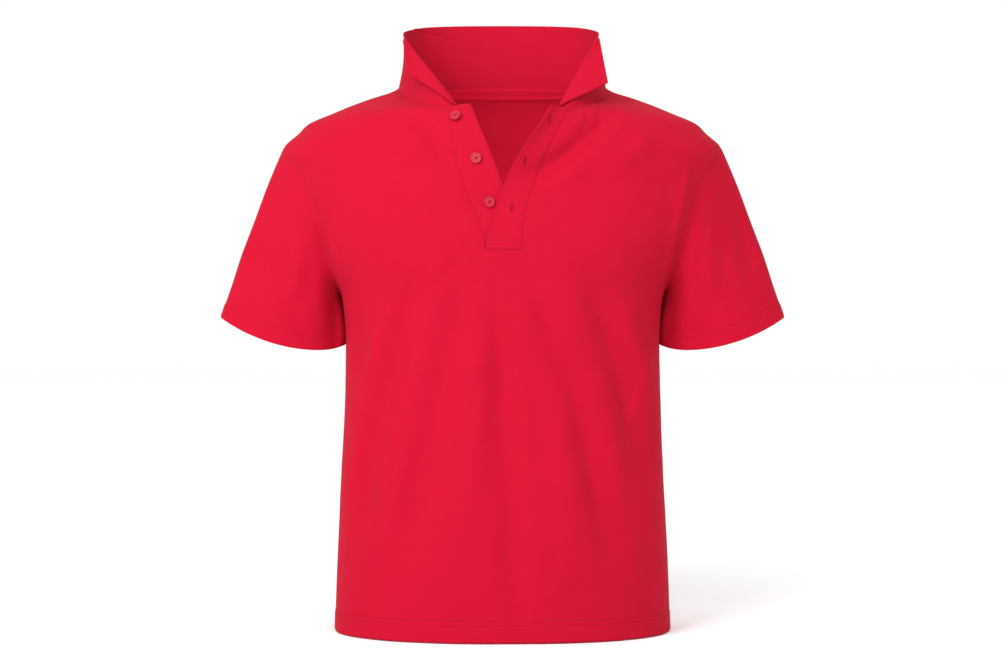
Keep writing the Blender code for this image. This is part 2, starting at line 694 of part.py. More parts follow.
def button_seat(place):
    """Where a button sits: on the lower placket, facing out of it."""
    across, level = place
    tuck = ease(TUCK_START, TUCK_END, level)
    lift = UNDER_STEP - (UNDER_STEP + UNDER_TUCK) * tuck + BUTTON_CLEARANCE
    half = BUTTON_SEAT_SHARE * BUTTON_RADIUS

    def seat(x, z):
        return Vector(body_point(turn_from_across(x, z, -1), z, -1, lift))

    middle = seat(across, level)
    side_way = (seat(across + half, level) - middle).normalized()
    facing_way = side_way.cross(seat(across, level + half) - middle).normalized()
    up_way = facing_way.cross(side_way)
    turned = Matrix((side_way, up_way, facing_way)).transposed()
    return Matrix.Translation(middle) @ turned.to_4x4()


def main():
    for leftover in list(bpy.data.objects):
        bpy.data.objects.remove(leftover, do_unlink=True)
    shirt = bpy.data.collections.new("polo_shirt")
    cutters = bpy.data.collections.new("cutters")
    for collection in (shirt, cutters):
        bpy.context.scene.collection.children.link(collection)
    red_cloth = make_material("red_pique", RED_CLOTH, CLOTH_ROUGHNESS)
    red_rib = make_material("red_rib", RED_RIB, CLOTH_ROUGHNESS)
    red_button = make_material("red_button", RED_BUTTON, BUTTON_ROUGHNESS)

    first_column = SHOULDER_CELLS + FRONT_NECK_CELLS
    slot = (first_column, first_column + PLACKET_GAP_CELLS, PLACKET_FOOT_ROW)
    sleeve_hem = (SLEEVE_ROWS - 1, SLEEVE_ROWS)
    pieces = (
        cloth_piece("front_panel", front_grid(), WALL, hem_rows=(0, 1), slot=slot),
        cloth_piece("back_panel", back_grid(), WALL, hem_rows=(0, 1)),
        cloth_piece("sleeve_left", sleeve_grid(-1), WALL, hem_rows=sleeve_hem, closed=True),
        cloth_piece("sleeve_right", sleeve_grid(1), WALL, hem_rows=sleeve_hem, closed=True),
        cloth_piece("placket_under", placket_grid(-1), BAND_WALL),
        cloth_piece("placket_over", placket_grid(1), BAND_WALL),
        cloth_piece("neck_tape", tape_grid(), TAPE_WALL),
    )
    for piece in pieces:
        finish(piece, shirt, red_cloth)
    finish(cloth_piece("collar", collar_grid(), BAND_WALL), shirt, red_rib)
    for number, place in enumerate(BUTTON_PLACES, start=1):
        button(f"button_{number}", place, shirt, cutters, red_button)


main()
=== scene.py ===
"""Polo shirt: the knitted cloth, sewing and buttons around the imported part.

Metres, +Z up, the shirt's front towards -Y.  Left and right are the viewer's.
"""

import math  # noqa: E402

import bmesh  # noqa: E402
import bpy  # noqa: E402
import numpy as np  # noqa: E402
from mathutils import Matrix, Vector  # noqa: E402


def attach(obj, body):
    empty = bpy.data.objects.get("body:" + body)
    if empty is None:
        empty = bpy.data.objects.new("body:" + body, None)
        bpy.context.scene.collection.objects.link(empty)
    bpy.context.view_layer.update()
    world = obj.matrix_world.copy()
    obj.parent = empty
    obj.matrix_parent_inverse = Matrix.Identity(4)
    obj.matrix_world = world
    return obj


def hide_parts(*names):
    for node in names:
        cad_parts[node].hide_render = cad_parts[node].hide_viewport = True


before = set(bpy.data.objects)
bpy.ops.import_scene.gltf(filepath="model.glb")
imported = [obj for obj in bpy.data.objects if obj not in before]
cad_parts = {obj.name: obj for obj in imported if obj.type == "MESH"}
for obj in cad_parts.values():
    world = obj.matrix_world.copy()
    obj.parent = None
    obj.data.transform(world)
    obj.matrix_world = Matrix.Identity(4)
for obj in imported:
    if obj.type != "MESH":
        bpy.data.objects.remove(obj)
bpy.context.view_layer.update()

QUARTER_TURN = math.pi / 2
SIDES = ((-1, "left"), (1, "right"))

# Cloth and seams
WALL = 0.0013
HEM_WALL = 0.0024
BAND_WALL = 0.0020
TAPE_WALL = 0.0010
COLLAR_WALL = 0.0015
HEM_HEIGHT = 0.024
HEM_STEP = 0.0006
HEM_STEP_RUN = 0.0040
BAND_GAP = 0.0001
CLOTH_SMOOTH_ANGLE = math.radians(50)

# Heights of the body's seams
HEM_LEVEL = -0.647
UNDERARM_LEVEL = -0.245
SHOULDER_TIP_LEVEL = -0.070
PLACKET_FOOT_LEVEL = -0.1993

# The body's level sections, each a superellipse
BODY_SECTIONS = (
    # level, half_width, front_depth, back_depth, squareness
    (-0.647, 0.2005, 0.1340, 0.1150, 2.30),
    (-0.560, 0.1975, 0.1310, 0.1120, 2.30),
    (-0.450, 0.1918, 0.1280, 0.1085, 2.30),
    (-0.350, 0.1880, 0.1260, 0.1070, 2.30),
    (-0.290, 0.1880, 0.1265, 0.1080, 2.30),
    (-0.245, 0.1905, 0.1275, 0.1095, 2.35),
    (-0.206, 0.2070, 0.1285, 0.1110, 2.50),
    (-0.146, 0.2350, 0.1280, 0.1120, 2.40),
    (-0.104, 0.2560, 0.1255, 0.1090, 2.20),
    (-0.070, 0.2600, 0.1225, 0.1040, 2.10),
    (-0.057, 0.2450, 0.1190, 0.1010, 2.10),
    (-0.044, 0.2310, 0.1130, 0.0970, 2.10),
    (-0.033, 0.2055, 0.1050, 0.0920, 2.05),
    (-0.0235, 0.1840, 0.0830, 0.0870, 2.00),
    (-0.014, 0.1590, 0.0600, 0.0800, 2.00),
    (-0.004, 0.1300, 0.0330, 0.0715, 2.00),
    (0.000, 0.1240, 0.0200, 0.0680, 2.00),
    (0.008, 0.1140, 0.0100, 0.0600, 2.00),
)

# Neck and armholes
NECK_HALF_WIDTH = 0.124
FRONT_NECK_DROP_LEFT = 0.038
FRONT_NECK_DROP_RIGHT = 0.043
FRONT_NECK_ROUNDNESS = 0.9
BACK_NECK_RISE = 0.006
ARMHOLE_FRONT_REACH = 0.062
ARMHOLE_BACK_REACH = 0.058

# Shares of a panel's outline: side seam of the whole side, shoulder of the whole top
UNDERARM_SHARE = 18 / 30
FRONT_SHOULDER_SHARE = 8 / 16
BACK_SHOULDER_SHARE = 8 / 14
PLACKET_FOOT_SHARE = 20 / 30
TOP_SHAPE_FADE = 5

# Placket seams and edges as seen from the front
LEFT_SEAM = (
    # level, across
    (-0.1993, -0.0188),
    (-0.1855, -0.0210),
    (-0.1410, -0.0395),
    (-0.1050, -0.0520),
    (-0.0710, -0.0580),
    (-0.0340, -0.0640),
)
RIGHT_SEAM = (
    # level, across
    (-0.1993, 0.0235),
    (-0.1879, 0.0224),
    (-0.1477, 0.0281),
    (-0.1070, 0.0419),
    (-0.0724, 0.0570),
    (-0.0340, 0.0780),
)
UNDER_EDGE = (
    # level, across
    (-0.1970, 0.0212),
    (-0.1820, 0.0178),
    (-0.1532, 0.0087),
    (-0.1243, -0.0005),
    (-0.0921, -0.0120),
    (-0.0610, -0.0246),
    (-0.0292, -0.0374),
)
OVER_EDGE = (
    # level, across
    (-0.1987, -0.0186),
    (-0.1872, -0.0180),
    (-0.1735, -0.0142),
    (-0.1586, -0.0096),
    (-0.1276, 0.0007),
    (-0.0955, 0.0167),
    (-0.0726, 0.0328),
    (-0.0500, 0.0489),
    (-0.0390, 0.0558),
)
OVER_EDGE_LIFT = 0.011
OVER_LIFT_START, OVER_LIFT_FULL = -0.15, -0.05
OVER_STEP = 0.0009
UNDER_STEP = 0.0004
UNDER_TUCK = 0.0021
TUCK_START = -0.108
TUCK_END = -0.142
TUCK_BESIDE_SHARE = 0.75
TUCK_BESIDE_REACH = 0.006
TUCK_BELOW_FOOT = 0.004
TUCK_ABOVE_FOOT = 0.010

# Collar: stations along its top edge, left front to right front
COLLAR_TOP = (
    # share, across, depth, level
    (0.000, -0.1146, -0.0500, 0.0530),
    (0.100, -0.1160, -0.0360, 0.0580),
    (0.200, -0.1166, -0.0200, 0.0627),
    (0.300, -0.1140, -0.0010, 0.0680),
    (0.350, -0.1062, 0.0240, 0.0740),
    (0.400, -0.0920, 0.0500, 0.0800),
    (0.450, -0.0540, 0.0740, 0.0850),
    (0.500, -0.0010, 0.0820, 0.0865),
    (0.550, 0.0515, 0.0740, 0.0850),
    (0.600, 0.0890, 0.0500, 0.0800),
    (0.650, 0.1030, 0.0240, 0.0740),
    (0.700, 0.1106, -0.0010, 0.0680),
    (0.800, 0.1130, -0.0200, 0.0630),
    (0.900, 0.1126, -0.0360, 0.0587),
    (1.000, 0.1112, -0.0500, 0.0540),
)
COLLAR_BOW = 0.0022
COLLAR_BOW_FADE = 0.15
COLLAR_TUCK_IN = 0.0009
COLLAR_TUCK_DOWN = 0.0014
COLLAR_SEAM_GAP = 0.0003
# Where its seam passes, in thirtieths: end, front neck, shoulder, middle of the back, and back
COLLAR_STOPS = (0, 1, 9, 15, 21, 29, 30)
COLLAR_TURN_LENGTH = 0.42
COLLAR_FOLDS = (
    # start_across, start_level, end_across, end_level, bow, reach, height
    (-0.112, 0.0745, -0.052, 0.0650, 0.0008, 0.0016, -0.0011),
    (-0.112, 0.0710, -0.052, 0.0615, 0.0008, 0.0024, 0.0008),
    (0.086, 0.0760, 0.050, 0.0600, -0.0010, 0.0060, -0.0007),
    (-0.046, 0.0200, -0.050, 0.0720, 0.0005, 0.0040, 0.0006),
    (0.062, 0.0150, 0.068, 0.0700, 0.0005, 0.0045, 0.0006),
    (0.010, 0.0150, 0.004, 0.0750, 0.0010, 0.0090, -0.0005),
)
LEFT_COLLAR_END = -0.055
RIGHT_COLLAR_END = 0.067
COLLAR_END_RISE = 0.002
LEFT_COLLAR_POINT = (-0.1100, -0.0780, 0.0085)
RIGHT_COLLAR_POINT = (0.1223, -0.0860, -0.0035)
FOLD_ROLL = 0.0017
CORNER_FOOT_BACK = 0.0035
CORNER_FOOT_OUT = 0.0040
CORNER_FOOT_UP = 0.0025
CORNER_BELLY = 0.0006
CORNER_BELLY_PEAK = 0.6
CORNER_BELLY_LOW_SHARE = 0.4

# Sleeves
SLEEVE_HEM_MIDDLE = (-0.2665, 0.003, -0.2945)
SLEEVE_HEM_HALF_WIDTH = 0.0741
SLEEVE_HEM_HALF_DEPTH = 0.042
SLEEVE_HEM_TILT = math.radians(15.2)
SLEEVE_HEM_SAG_FRONT = 0.013
SLEEVE_HEM_SAG_BACK = 0.007
SLEEVE_START_OVER_SHOULDER = 0.050
SLEEVE_START_AT_UNDERARM = 0.020
SLEEVE_SPREAD_AT_UNDERARM = 1.4
SLEEVE_SPREAD_TOP = 0.45
SLEEVE_END_PULL = 0.100
SLEEVE_HEM_HEIGHT = 0.020
SLEEVE_INNER_REACH = 0.0060
SLEEVE_INNER_REACH_SPAN = (0.25, 0.9)
SLEEVE_INNER_RISE = 0.0060
SLEEVE_INNER_RISE_SPAN = (0.5, 1.0)
SLEEVE_TURN_LENGTH = 0.12
SLEEVE_BACK_SHIFT = 0.008
SLEEVE_FOLD_START = 0.15
SLEEVE_WAVE_START = 0.02

# Neck tape: its lower and upper edge below the neck seam
TAPE_LOW = 0.0150
TAPE_HIGH = -0.0022
TAPE_CLEARANCE = 0.0004
TAPE_CLEARANCE_TOP = 0.0024
TAPE_LEAVES_START, TAPE_LEAVES_FULL = 0.35, 0.85
TAPE_HALF_SHARE = 0.93
TAPE_SLOPE_DROP = 0.012

# Buttons
BUTTON_RADIUS = 0.0061
BUTTON_THICKNESS = 0.0026
BUTTON_HOLE_RADIUS = 0.0008
BUTTON_HOLE_SPREAD = 0.0018
BUTTON_CLEARANCE = 0.0005
BUTTON_ROUNDING = 0.00035
BUTTON_INSETS = (
    # width, rise
    (0.0011, 0.0),
    (0.0005, -0.0008),
    (0.0014, 0.0),
    (0.0003, 0.0003),
)
BUTTONS = (
    # across, level, height, tilt
    (-0.0530, -0.0465, 0.0012, math.radians(-20)),
    (-0.0300, -0.0946, 0.0002, math.radians(-5)),
    (-0.0151, -0.1448, 0.0002, math.radians(4)),
)
BUTTON_SMOOTH_ANGLE = math.radians(35)
BUTTON_THREAD_HALF_LENGTH = 0.0018
BUTTON_THREAD_HALF_SPREAD = 0.0009
BUTTON_THREAD_HEIGHT = 0.0020
BUTTONHOLES = (
    # across, level, lean
    (0.0536, -0.0500, math.radians(-8)),
    (0.0255, -0.0983, math.radians(-8)),
    (0.0106, -0.1513, math.radians(-6)),
)
SLIT_WIDTH = 0.0009
SLIT_LENGTH = 0.0088
SLIT_STITCH_BESIDE = 0.0008
SLIT_STITCH_LIFT = 0.0002
SLIT_BAR_PAST_END = 0.0004
SLIT_BAR_HALF_LENGTH = 0.0016
SLIT_BAR_LIFT = 0.0003
DRILL_DEPTH = 0.02

# How a fold starts and ends, in shares of its length
FOLD_FADE = (-0.08, 0.25)

# Folds of the body as seen from the front, and like ones on the back
FRONT_FOLDS = (
    # start_across, start_level, end_across, end_level, bow, reach, height
    (-0.177, -0.270, -0.161, -0.384, 0.004, 0.013, -0.0049),
    (-0.096, -0.229, -0.176, -0.558, -0.008, 0.017, -0.0084),
    (-0.134, -0.250, -0.186, -0.540, -0.006, 0.014, 0.0042),
    (-0.048, -0.229, -0.126, -0.589, 0.004, 0.018, -0.0077),
    (-0.020, -0.250, -0.060, -0.600, 0.004, 0.018, 0.0042),
    (-0.005, -0.220, 0.021, -0.640, -0.004, 0.017, -0.0070),
    (0.031, -0.215, 0.131, -0.560, 0.006, 0.018, -0.0077),
    (0.060, -0.250, 0.075, -0.600, 0.006, 0.018, 0.0039),
    (0.098, -0.222, 0.172, -0.480, 0.005, 0.016, -0.0077),
    (0.140, -0.260, 0.176, -0.400, 0.004, 0.012, 0.0039),
    (-0.105, -0.044, -0.053, -0.107, 0.000, 0.012, -0.0049),
    (-0.166, -0.066, -0.120, -0.102, 0.000, 0.013, -0.0042),
    (0.129, -0.030, 0.021, -0.125, 0.006, 0.013, -0.0063),
    (0.175, -0.062, 0.110, -0.112, 0.004, 0.015, 0.0042),
    (-0.215, -0.100, -0.188, -0.290, -0.004, 0.012, 0.0049),
    (0.215, -0.100, 0.187, -0.290, 0.004, 0.012, 0.0049),
)
BACK_FOLDS = (
    # start_across, start_level, end_across, end_level, bow, reach, height
    (-0.150, -0.080, -0.095, -0.215, 0.008, 0.018, -0.0052),
    (0.155, -0.085, 0.090, -0.230, -0.006, 0.018, -0.0059),
    (-0.170, -0.250, -0.120, -0.560, 0.008, 0.018, -0.0065),
    (-0.105, -0.220, -0.070, -0.610, -0.006, 0.019, -0.0072),
    (-0.035, -0.180, -0.015, -0.560, 0.006, 0.020, -0.0059),
    (0.030, -0.260, 0.045, -0.630, -0.006, 0.018, -0.0065),
    (0.105, -0.210, 0.085, -0.590, 0.008, 0.020, -0.0072),
    (0.168, -0.260, 0.140, -0.540, -0.006, 0.017, -0.0059),
    (-0.140, -0.330, -0.095, -0.610, 0.004, 0.017, 0.0039),
    (0.140, -0.290, 0.115, -0.600, -0.004, 0.018, 0.0039),
)
SLEEVE_FOLDS = (
    # start_across, start_level, end_across, end_level, bow, reach, height
    (-0.240, -0.125, -0.252, -0.262, 0.004, 0.013, 0.0036),
    (-0.213, -0.118, -0.201, -0.330, 0.002, 0.010, -0.0046),
    (-0.199, -0.225, -0.196, -0.335, 0.000, 0.007, -0.0042),
    (-0.262, -0.200, -0.236, -0.300, -0.003, 0.010, -0.0018),
    (-0.272, -0.110, -0.296, -0.245, -0.003, 0.014, -0.0039),
)

# Finer creases that only the cloth has
FRONT_CREASES = (
    # start_across, start_level, end_across, end_level, bow, reach, height
    (0.088, -0.030, 0.080, -0.052, 0.000, 0.0035, -0.0012),
    (0.101, -0.032, 0.095, -0.060, 0.000, 0.0040, -0.0013),
    (0.114, -0.030, 0.112, -0.062, 0.001, 0.0040, -0.0011),
    (0.127, -0.026, 0.128, -0.056, 0.000, 0.0040, -0.0009),
    (-0.092, -0.048, -0.070, -0.098, 0.001, 0.0045, -0.0010),
    (-0.080, -0.046, -0.060, -0.090, 0.001, 0.0040, 0.0007),
    (-0.040, -0.196, -0.104, -0.262, 0.004, 0.007, -0.0010),
    (0.046, -0.200, 0.118, -0.268, -0.004, 0.008, -0.0011),
    (0.134, -0.036, 0.032, -0.116, 0.006, 0.0100, -0.0042),
    (0.142, -0.050, 0.060, -0.126, 0.004, 0.0120, 0.0022),
    (-0.134, -0.050, -0.086, -0.120, 0.004, 0.0110, -0.0018),
    (-0.168, -0.330, -0.120, -0.420, -0.006, 0.010, 0.0016),
    (-0.112, -0.420, -0.146, -0.560, 0.004, 0.009, 0.0014),
    (0.020, -0.300, 0.044, -0.470, 0.005, 0.010, -0.0016),
    (0.122, -0.330, 0.158, -0.500, 0.006, 0.009, -0.0016),
    (-0.030, -0.330, -0.048, -0.520, -0.005, 0.011, -0.0014),
    (0.086, -0.430, 0.102, -0.600, 0.004, 0.010, 0.0014),
    (-0.140, -0.330, -0.178, -0.480, -0.004, 0.0042, 0.0014),
    (-0.176, -0.330, -0.156, -0.396, 0.002, 0.0036, 0.0010),
    (0.122, -0.345, 0.162, -0.475, 0.004, 0.0046, 0.0013),
    (0.1755, -0.305, 0.152, -0.425, -0.003, 0.0042, 0.0012),
    (-0.2225, -0.086, -0.1860, -0.268, 0.004, 0.0034, 0.0015),
    (-0.2290, -0.092, -0.1920, -0.262, 0.004, 0.0036, -0.0013),
    (0.2200, -0.088, 0.1850, -0.268, -0.004, 0.0034, 0.0015),
    (0.2265, -0.094, 0.1912, -0.262, -0.004, 0.0036, -0.0013),
)
BACK_CREASES = (
    # start_across, start_level, end_across, end_level, bow, reach, height
    (-0.060, -0.020, -0.052, -0.060, 0.000, 0.0060, -0.0008),
    (0.048, -0.018, 0.056, -0.064, 0.000, 0.0065, -0.0009),
    (-0.120, -0.290, -0.152, -0.430, 0.005, 0.010, 0.0016),
    (0.062, -0.300, 0.086, -0.470, -0.005, 0.011, -0.0016),
    (-0.060, -0.330, -0.044, -0.520, 0.005, 0.010, 0.0015),
    (0.010, -0.120, 0.024, -0.240, 0.004, 0.012, -0.0014),
)

# Soft random waves of the cloth: height, size_across, size_level, seed
BODY_WAVES = ((0.0007, 0.030, 0.055, 5), (0.0003, 0.012, 0.018, 9))
SLEEVE_WAVES = (0.0006, 0.030, 0.040, 31)
COLLAR_WAVES = (0.0007, 0.045, 0.050, 41)
WAVES_START, WAVES_FULL = -0.06, -0.10
SIDE_FADE = 0.030

# Stitches: length, pitch and radius
ROW_STITCH = (0.0027, 0.0032, 0.00032)
HOLE_STITCH = (0.0016, 0.00052, 0.00026)
BAR_STITCH = (0.0014, 0.00050, 0.00028)
BUTTON_STITCH = (0.0034, 0.0036, 0.00042)

# Rows of stitches: distances from the edge or seam that each follows
HEM_ROWS = (0.001, -0.004)
NECK_ROW = 0.006
BACK_NECK_ROW = 0.0105
SHOULDER_ROW = 0.003
EDGE_ROW = 0.0026
SEAM_ROW = 0.0022
FOOT_ROW = 0.0018
TAPE_ROW = 0.0014
BOX_HEIGHT = 0.009
BOX_MARGIN_COLUMNS = 3
STITCH_LIFT = 0.0001
TAPE_STITCH_LIFT = 0.0002

# How the cloth's outer face sinks beside a seam, an edge or a row: depth and reach
SEAM_SINK = (0.0005, 0.0014)
NECK_ROW_SINK = (0.0009, 0.0012)
HEM_ROW_SINK = (0.00022, 0.0012)
HEM_EDGE_SINK = (0.0006, 0.0009)
BAND_EDGE_SINK = (0.0003, 0.0008)
BAND_SEAM_SINK = (0.0003, 0.0010)
BAND_ROW_SINK = (0.0002, 0.0010)
BAND_FOOT_SINK = (0.0004, 0.0008)

# Colours: the dark and the light shade of each finish
PIQUE_REDS = (0.370, 0.0025, 0.0175), (0.470, 0.0048, 0.0245)
# The tape's reds are lighter than the pique's: painted light on the tape, which sits in the
# collar's shade.
TAPE_PAINTED_LIGHT_REDS = (0.520, 0.0040, 0.0240), (0.640, 0.0072, 0.0340)
RIB_REDS = (0.360, 0.0025, 0.0170), (0.455, 0.0047, 0.0240)
THREAD_REDS = (0.330, 0.0024, 0.0160), (0.440, 0.0048, 0.0240)
RESIN_REDS = (0.34, 0.0040, 0.018), (0.43, 0.0070, 0.027)
# The paper's painted shade near the shirt, and its own colour far from it
PAPER_PAINTED_SHADE, PAPER_LIGHT = (0.93, 0.93, 0.93), (0.995, 0.995, 0.995)

# The knits: sizes of their cells and ribs, and the height of their relief
PIQUE_CELL_WIDTH = 0.0016
PIQUE_CELL_HEIGHT = 0.0013
RIB_WIDTH = 0.0012
RIB_COURSE_HEIGHT = 0.0009
KNIT_RELIEF = 0.00016

# Studio: the paper floor, its painted shade by distance from the shirt, lights and camera
FLOOR_SIZE = 30
FLOOR_BACK = 6.0
FLOOR_GAP = 0.0012
# Distances from the shirt over which the painted shade on the paper fades out
PAINTED_SHADE_NEAR, PAINTED_SHADE_FAR = 0.20, 1.1
LIGHTS = (
    # name, place, aim, size, power
    ("key_light", (-1.5, -2.3, 1.1), (0, 0, -0.3), 1.3, 64),
    ("top_light", (0.3, -1.6, 1.2), (0, 0, -0.1), 0.9, 10),
    ("inner_light", (0.0, -0.02, -0.23), (0, 0.09, -0.03), 0.10, 0.36),
)
CAMERA_PLACE = (0.0018, -2.5, -0.2976)
CAMERA_LENS = 74.4
CAMERA_SENSOR_WIDTH = 36

# Grids of the cloth: cells, and the length that their fine lines are set out on
FRONT_ROWS, FRONT_COLUMNS = (186, 0.64), (102, 0.29)
BACK_ROWS, BACK_COLUMNS = (170, 0.65), (96, 0.31)
SLEEVE_ROWS, SLEEVE_COLUMNS = (84, 0.22), 144
BAND_ROWS, BAND_COLUMNS = (120, 0.17), (26, 0.034)
COLLAR_ROWS, COLLAR_COLUMNS = (44, 0.085), 240
CORNER_COLUMNS, ROLL_COLUMNS = (18, 0.035), 8
TAPE_ROWS, TAPE_COLUMNS = 8, 120
SLOT_COLUMNS = 16

# Where fine grid lines lie beside an edge, a hem's top and the row at the neck
EDGE_LINES = (0.0005, 0.0010, 0.0016, 0.0024, 0.0036)
HEM_LINES = (-0.0015, 0.0005)
NECK_ROW_LINES = (0.0050, 0.0060, 0.0070)


def curve(t, start, start_slope, end, end_slope):
    """A cubic curve from start to end, with given slopes there; t runs from 0 to 1."""
    return ((2 * t**3 - 3 * t**2 + 1) * start + (t**3 - 2 * t**2 + t) * start_slope
            + (3 * t**2 - 2 * t**3) * end + (t**3 - t**2) * end_slope)


def smooth_table(rows, column, at):
    """Read one column of a table at any key, on a smooth curve through its rows."""
    table = np.array(rows, dtype=float)
    keys, values = table[:, 0], table[:, column]
    slopes = np.gradient(values, keys)
    at = np.clip(at, keys[0], keys[-1])
    cell = np.clip(np.searchsorted(keys, at, side="right") - 1, 0, len(keys) - 2)
    span = keys[cell + 1] - keys[cell]
    return curve((at - keys[cell]) / span, values[cell], span * slopes[cell],
                 values[cell + 1], span * slopes[cell + 1])


def ease(start, end, at):
    """A soft step from 0 at start to 1 at end."""
    t = np.clip((at - start) / (end - start), 0.0, 1.0)
    return t * t * (3 - 2 * t)


def bell(at, reach):
    """A soft hump of height 1 at 0, which fades over reach."""
    return np.exp(-(at / reach) ** 2)


def sink(distance, depth, reach):
    """How far a face sinks at a distance from a line."""
    return -depth * bell(distance, reach)


def unit(vectors):
    """Vectors of length 1."""
    return vectors / np.maximum(np.linalg.norm(vectors, axis=-1, keepdims=True), 1e-12)


def fold_height(folds, across, level):
    """The height of a list of soft ridges and troughs over a smooth surface."""
    total = np.zeros_like(across)
    for start_x, start_z, end_x, end_z, bow, reach, height in folds:
        run_x, run_z = end_x - start_x, end_z - start_z
        length = math.hypot(run_x, run_z)
        t = ((across - start_x) * run_x + (level - start_z) * run_z) / length**2
        side = ((across - start_x) * run_z - (level - start_z) * run_x) / -length
        middle = bow * 4 * np.clip(t, 0, 1) * (1 - np.clip(t, 0, 1))
        fade = ease(*FOLD_FADE, t) * ease(*FOLD_FADE, 1 - t)
        total += height * fade * bell(side - middle, reach)
    return total


def waves(across, level, height, size_across, size_level, seed):
    """Soft random waves up to a height, with lumps of the given sizes."""
    cells = 47
    lattice = np.random.default_rng(seed).uniform(-1, 1, (cells + 1, cells + 1))
    x, z = across / size_across + 20, level / size_level + 40
    column, row = np.floor(x).astype(int), np.floor(z).astype(int)
    s, t = ease(0, 1, x - column), ease(0, 1, z - row)
    column, row = column % cells, row % cells
    low = lattice[row, column] * (1 - s) + lattice[row, column + 1] * s
    high = lattice[row + 1, column] * (1 - s) + lattice[row + 1, column + 1] * s
    return height * (low * (1 - t) + high * t)


def section(level, facing):
    """Half width, depth and squareness of the body at a level; facing is -1 in front."""
    depth_column = 2 if facing < 0 else 3
    return (smooth_table(BODY_SECTIONS, 1, level),
            smooth_table(BODY_SECTIONS, depth_column, level),
            smooth_table(BODY_SECTIONS, 4, level))


def plain_body(turn, level, facing):
    """A point of the body without folds; turn is 0 in the middle, 90 degrees at a side."""
    width, depth, square = section(level, facing)
    radius = ((np.abs(np.sin(turn)) / width) ** square
              + (np.abs(np.cos(turn)) / depth) ** square) ** (-1 / square)
    return np.stack([radius * np.sin(turn), facing * radius * np.cos(turn), level], axis=-1)


def surface_normal(surface, turn, level, facing):
    """The outward direction of a body surface, from small steps along it."""
    small_turn, small_rise = 0.004, 0.0006
    along = surface(turn + small_turn, level, facing) - surface(turn - small_turn, level, facing)
    up = surface(turn, level + small_rise, facing) - surface(turn, level - small_rise, facing)
    return unit(np.cross(along, up) * -facing)


def body_point(turn, level, facing, lift=0.0):
    """A point of the shirt's body with its folds, moved out by lift."""
    turn, level = np.broadcast_arrays(np.asarray(turn, float), np.asarray(level, float))
    point = plain_body(turn, level, facing)
    normal = surface_normal(plain_body, turn, level, facing)
    folds = FRONT_FOLDS + FRONT_CREASES if facing < 0 else BACK_FOLDS + BACK_CREASES
    # Folds die out at the sides, where front and back meet
    edge = ease(0.0, SIDE_FADE, np.abs(point[..., 1]))
    height = fold_height(folds, point[..., 0], level) * edge
    below = ease(WAVES_START, WAVES_FULL, level)
    for *sizes, seed in BODY_WAVES:
        height += edge * below * waves(point[..., 0], level, *sizes, seed + facing)
    hem_top = HEM_LEVEL + HEM_HEIGHT
    hem = HEM_STEP * ease(hem_top, hem_top - HEM_STEP_RUN, level)
    return point + normal * (height + hem + lift)[..., None]


def turn_from_across(across, level, facing):
    """The turn at which the body passes a place given across the front view."""
    width, depth, square = section(level, facing)
    share = np.clip(1 - np.abs(across / width) ** square, 0, 1)
    return np.arctan2(across, depth * share ** (1 / square))


def turn_from_depth(depth_place, level, facing):
    """The turn at which the body passes a place given by its depth."""
    width, depth, square = section(level, facing)
    share = np.clip(1 - np.abs(depth_place / depth) ** square, 0, 1)
    return np.arctan2(width * share ** (1 / square), np.abs(depth_place))


def shoulder_seam(share):
    """Level of the shoulder seam, from its tip at 0 to the neck at 1."""
    levels = np.linspace(SHOULDER_TIP_LEVEL, 0.0, 200)
    widths = smooth_table(BODY_SECTIONS, 1, levels)
    tip, neck = widths[0], widths[-1]
    wanted = tip + (neck - tip) * share
    return np.interp(-wanted, -widths, levels)


def side_edge(share, facing):
    """Turn and level up a panel's side: side seam, then armhole."""
    low = np.clip(share / UNDERARM_SHARE, 0, 1)
    high = np.clip((share - UNDERARM_SHARE) / (1 - UNDERARM_SHARE), 0, 1)
    reach = ARMHOLE_FRONT_REACH if facing < 0 else ARMHOLE_BACK_REACH
    rise = (SHOULDER_TIP_LEVEL - UNDERARM_LEVEL) / 2
    level = (HEM_LEVEL + (UNDERARM_LEVEL - HEM_LEVEL) * low
             + rise * (1 - np.cos(math.pi * high)))
    return turn_from_depth(reach * np.sin(math.pi * high), level, facing), level


def neck_edge(share, facing, side):
    """Turn and level along half a neckline, from the shoulder to the middle."""
    if facing > 0:
        angle = QUARTER_TURN * share
        level = BACK_NECK_RISE * np.sin(angle) ** 2
    else:
        seam = LEFT_SEAM if side < 0 else RIGHT_SEAM
        angle = math.acos(abs(seam[-1][1]) / NECK_HALF_WIDTH) * share
        drop = FRONT_NECK_DROP_LEFT if side < 0 else FRONT_NECK_DROP_RIGHT
        level = -drop * np.sin(angle) ** FRONT_NECK_ROUNDNESS
    turn = turn_from_across(NECK_HALF_WIDTH * np.cos(angle), level, facing)
    return np.where(share <= 0, QUARTER_TURN, turn), level


def top_edge(share, facing, side):
    """Turn and level along a panel's top: shoulder seam, then neckline."""
    shoulder = FRONT_SHOULDER_SHARE if facing < 0 else BACK_SHOULDER_SHARE
    neck_turn, neck_level = neck_edge(np.clip((share - shoulder) / (1 - shoulder), 0, 1),
                                      facing, side)
    seam_level = shoulder_seam(np.clip(share / shoulder, 0, 1))
    on_seam = share < shoulder
    return np.where(on_seam, QUARTER_TURN, neck_turn), np.where(on_seam, seam_level, neck_level)


def pairs(turns, levels):
    """Turn and level side by side."""
    return np.stack(np.broadcast_arrays(turns, levels), axis=-1)


def fill_patch(bottom, top, left, right, u, v):
    """Fill a four-sided patch of turn and level pairs; rows go up, columns go across."""
    u, v = u[None, :, None], v[:, None, None]
    across = (1 - u) * left[:, None] + u * right[:, None]
    bottom_shape = bottom - (1 - u) * bottom[0] - u * bottom[-1]
    top_shape = top - (1 - u) * top[0] - u * top[-1]
    return across + (1 - v) * bottom_shape + v**TOP_SHAPE_FADE * top_shape


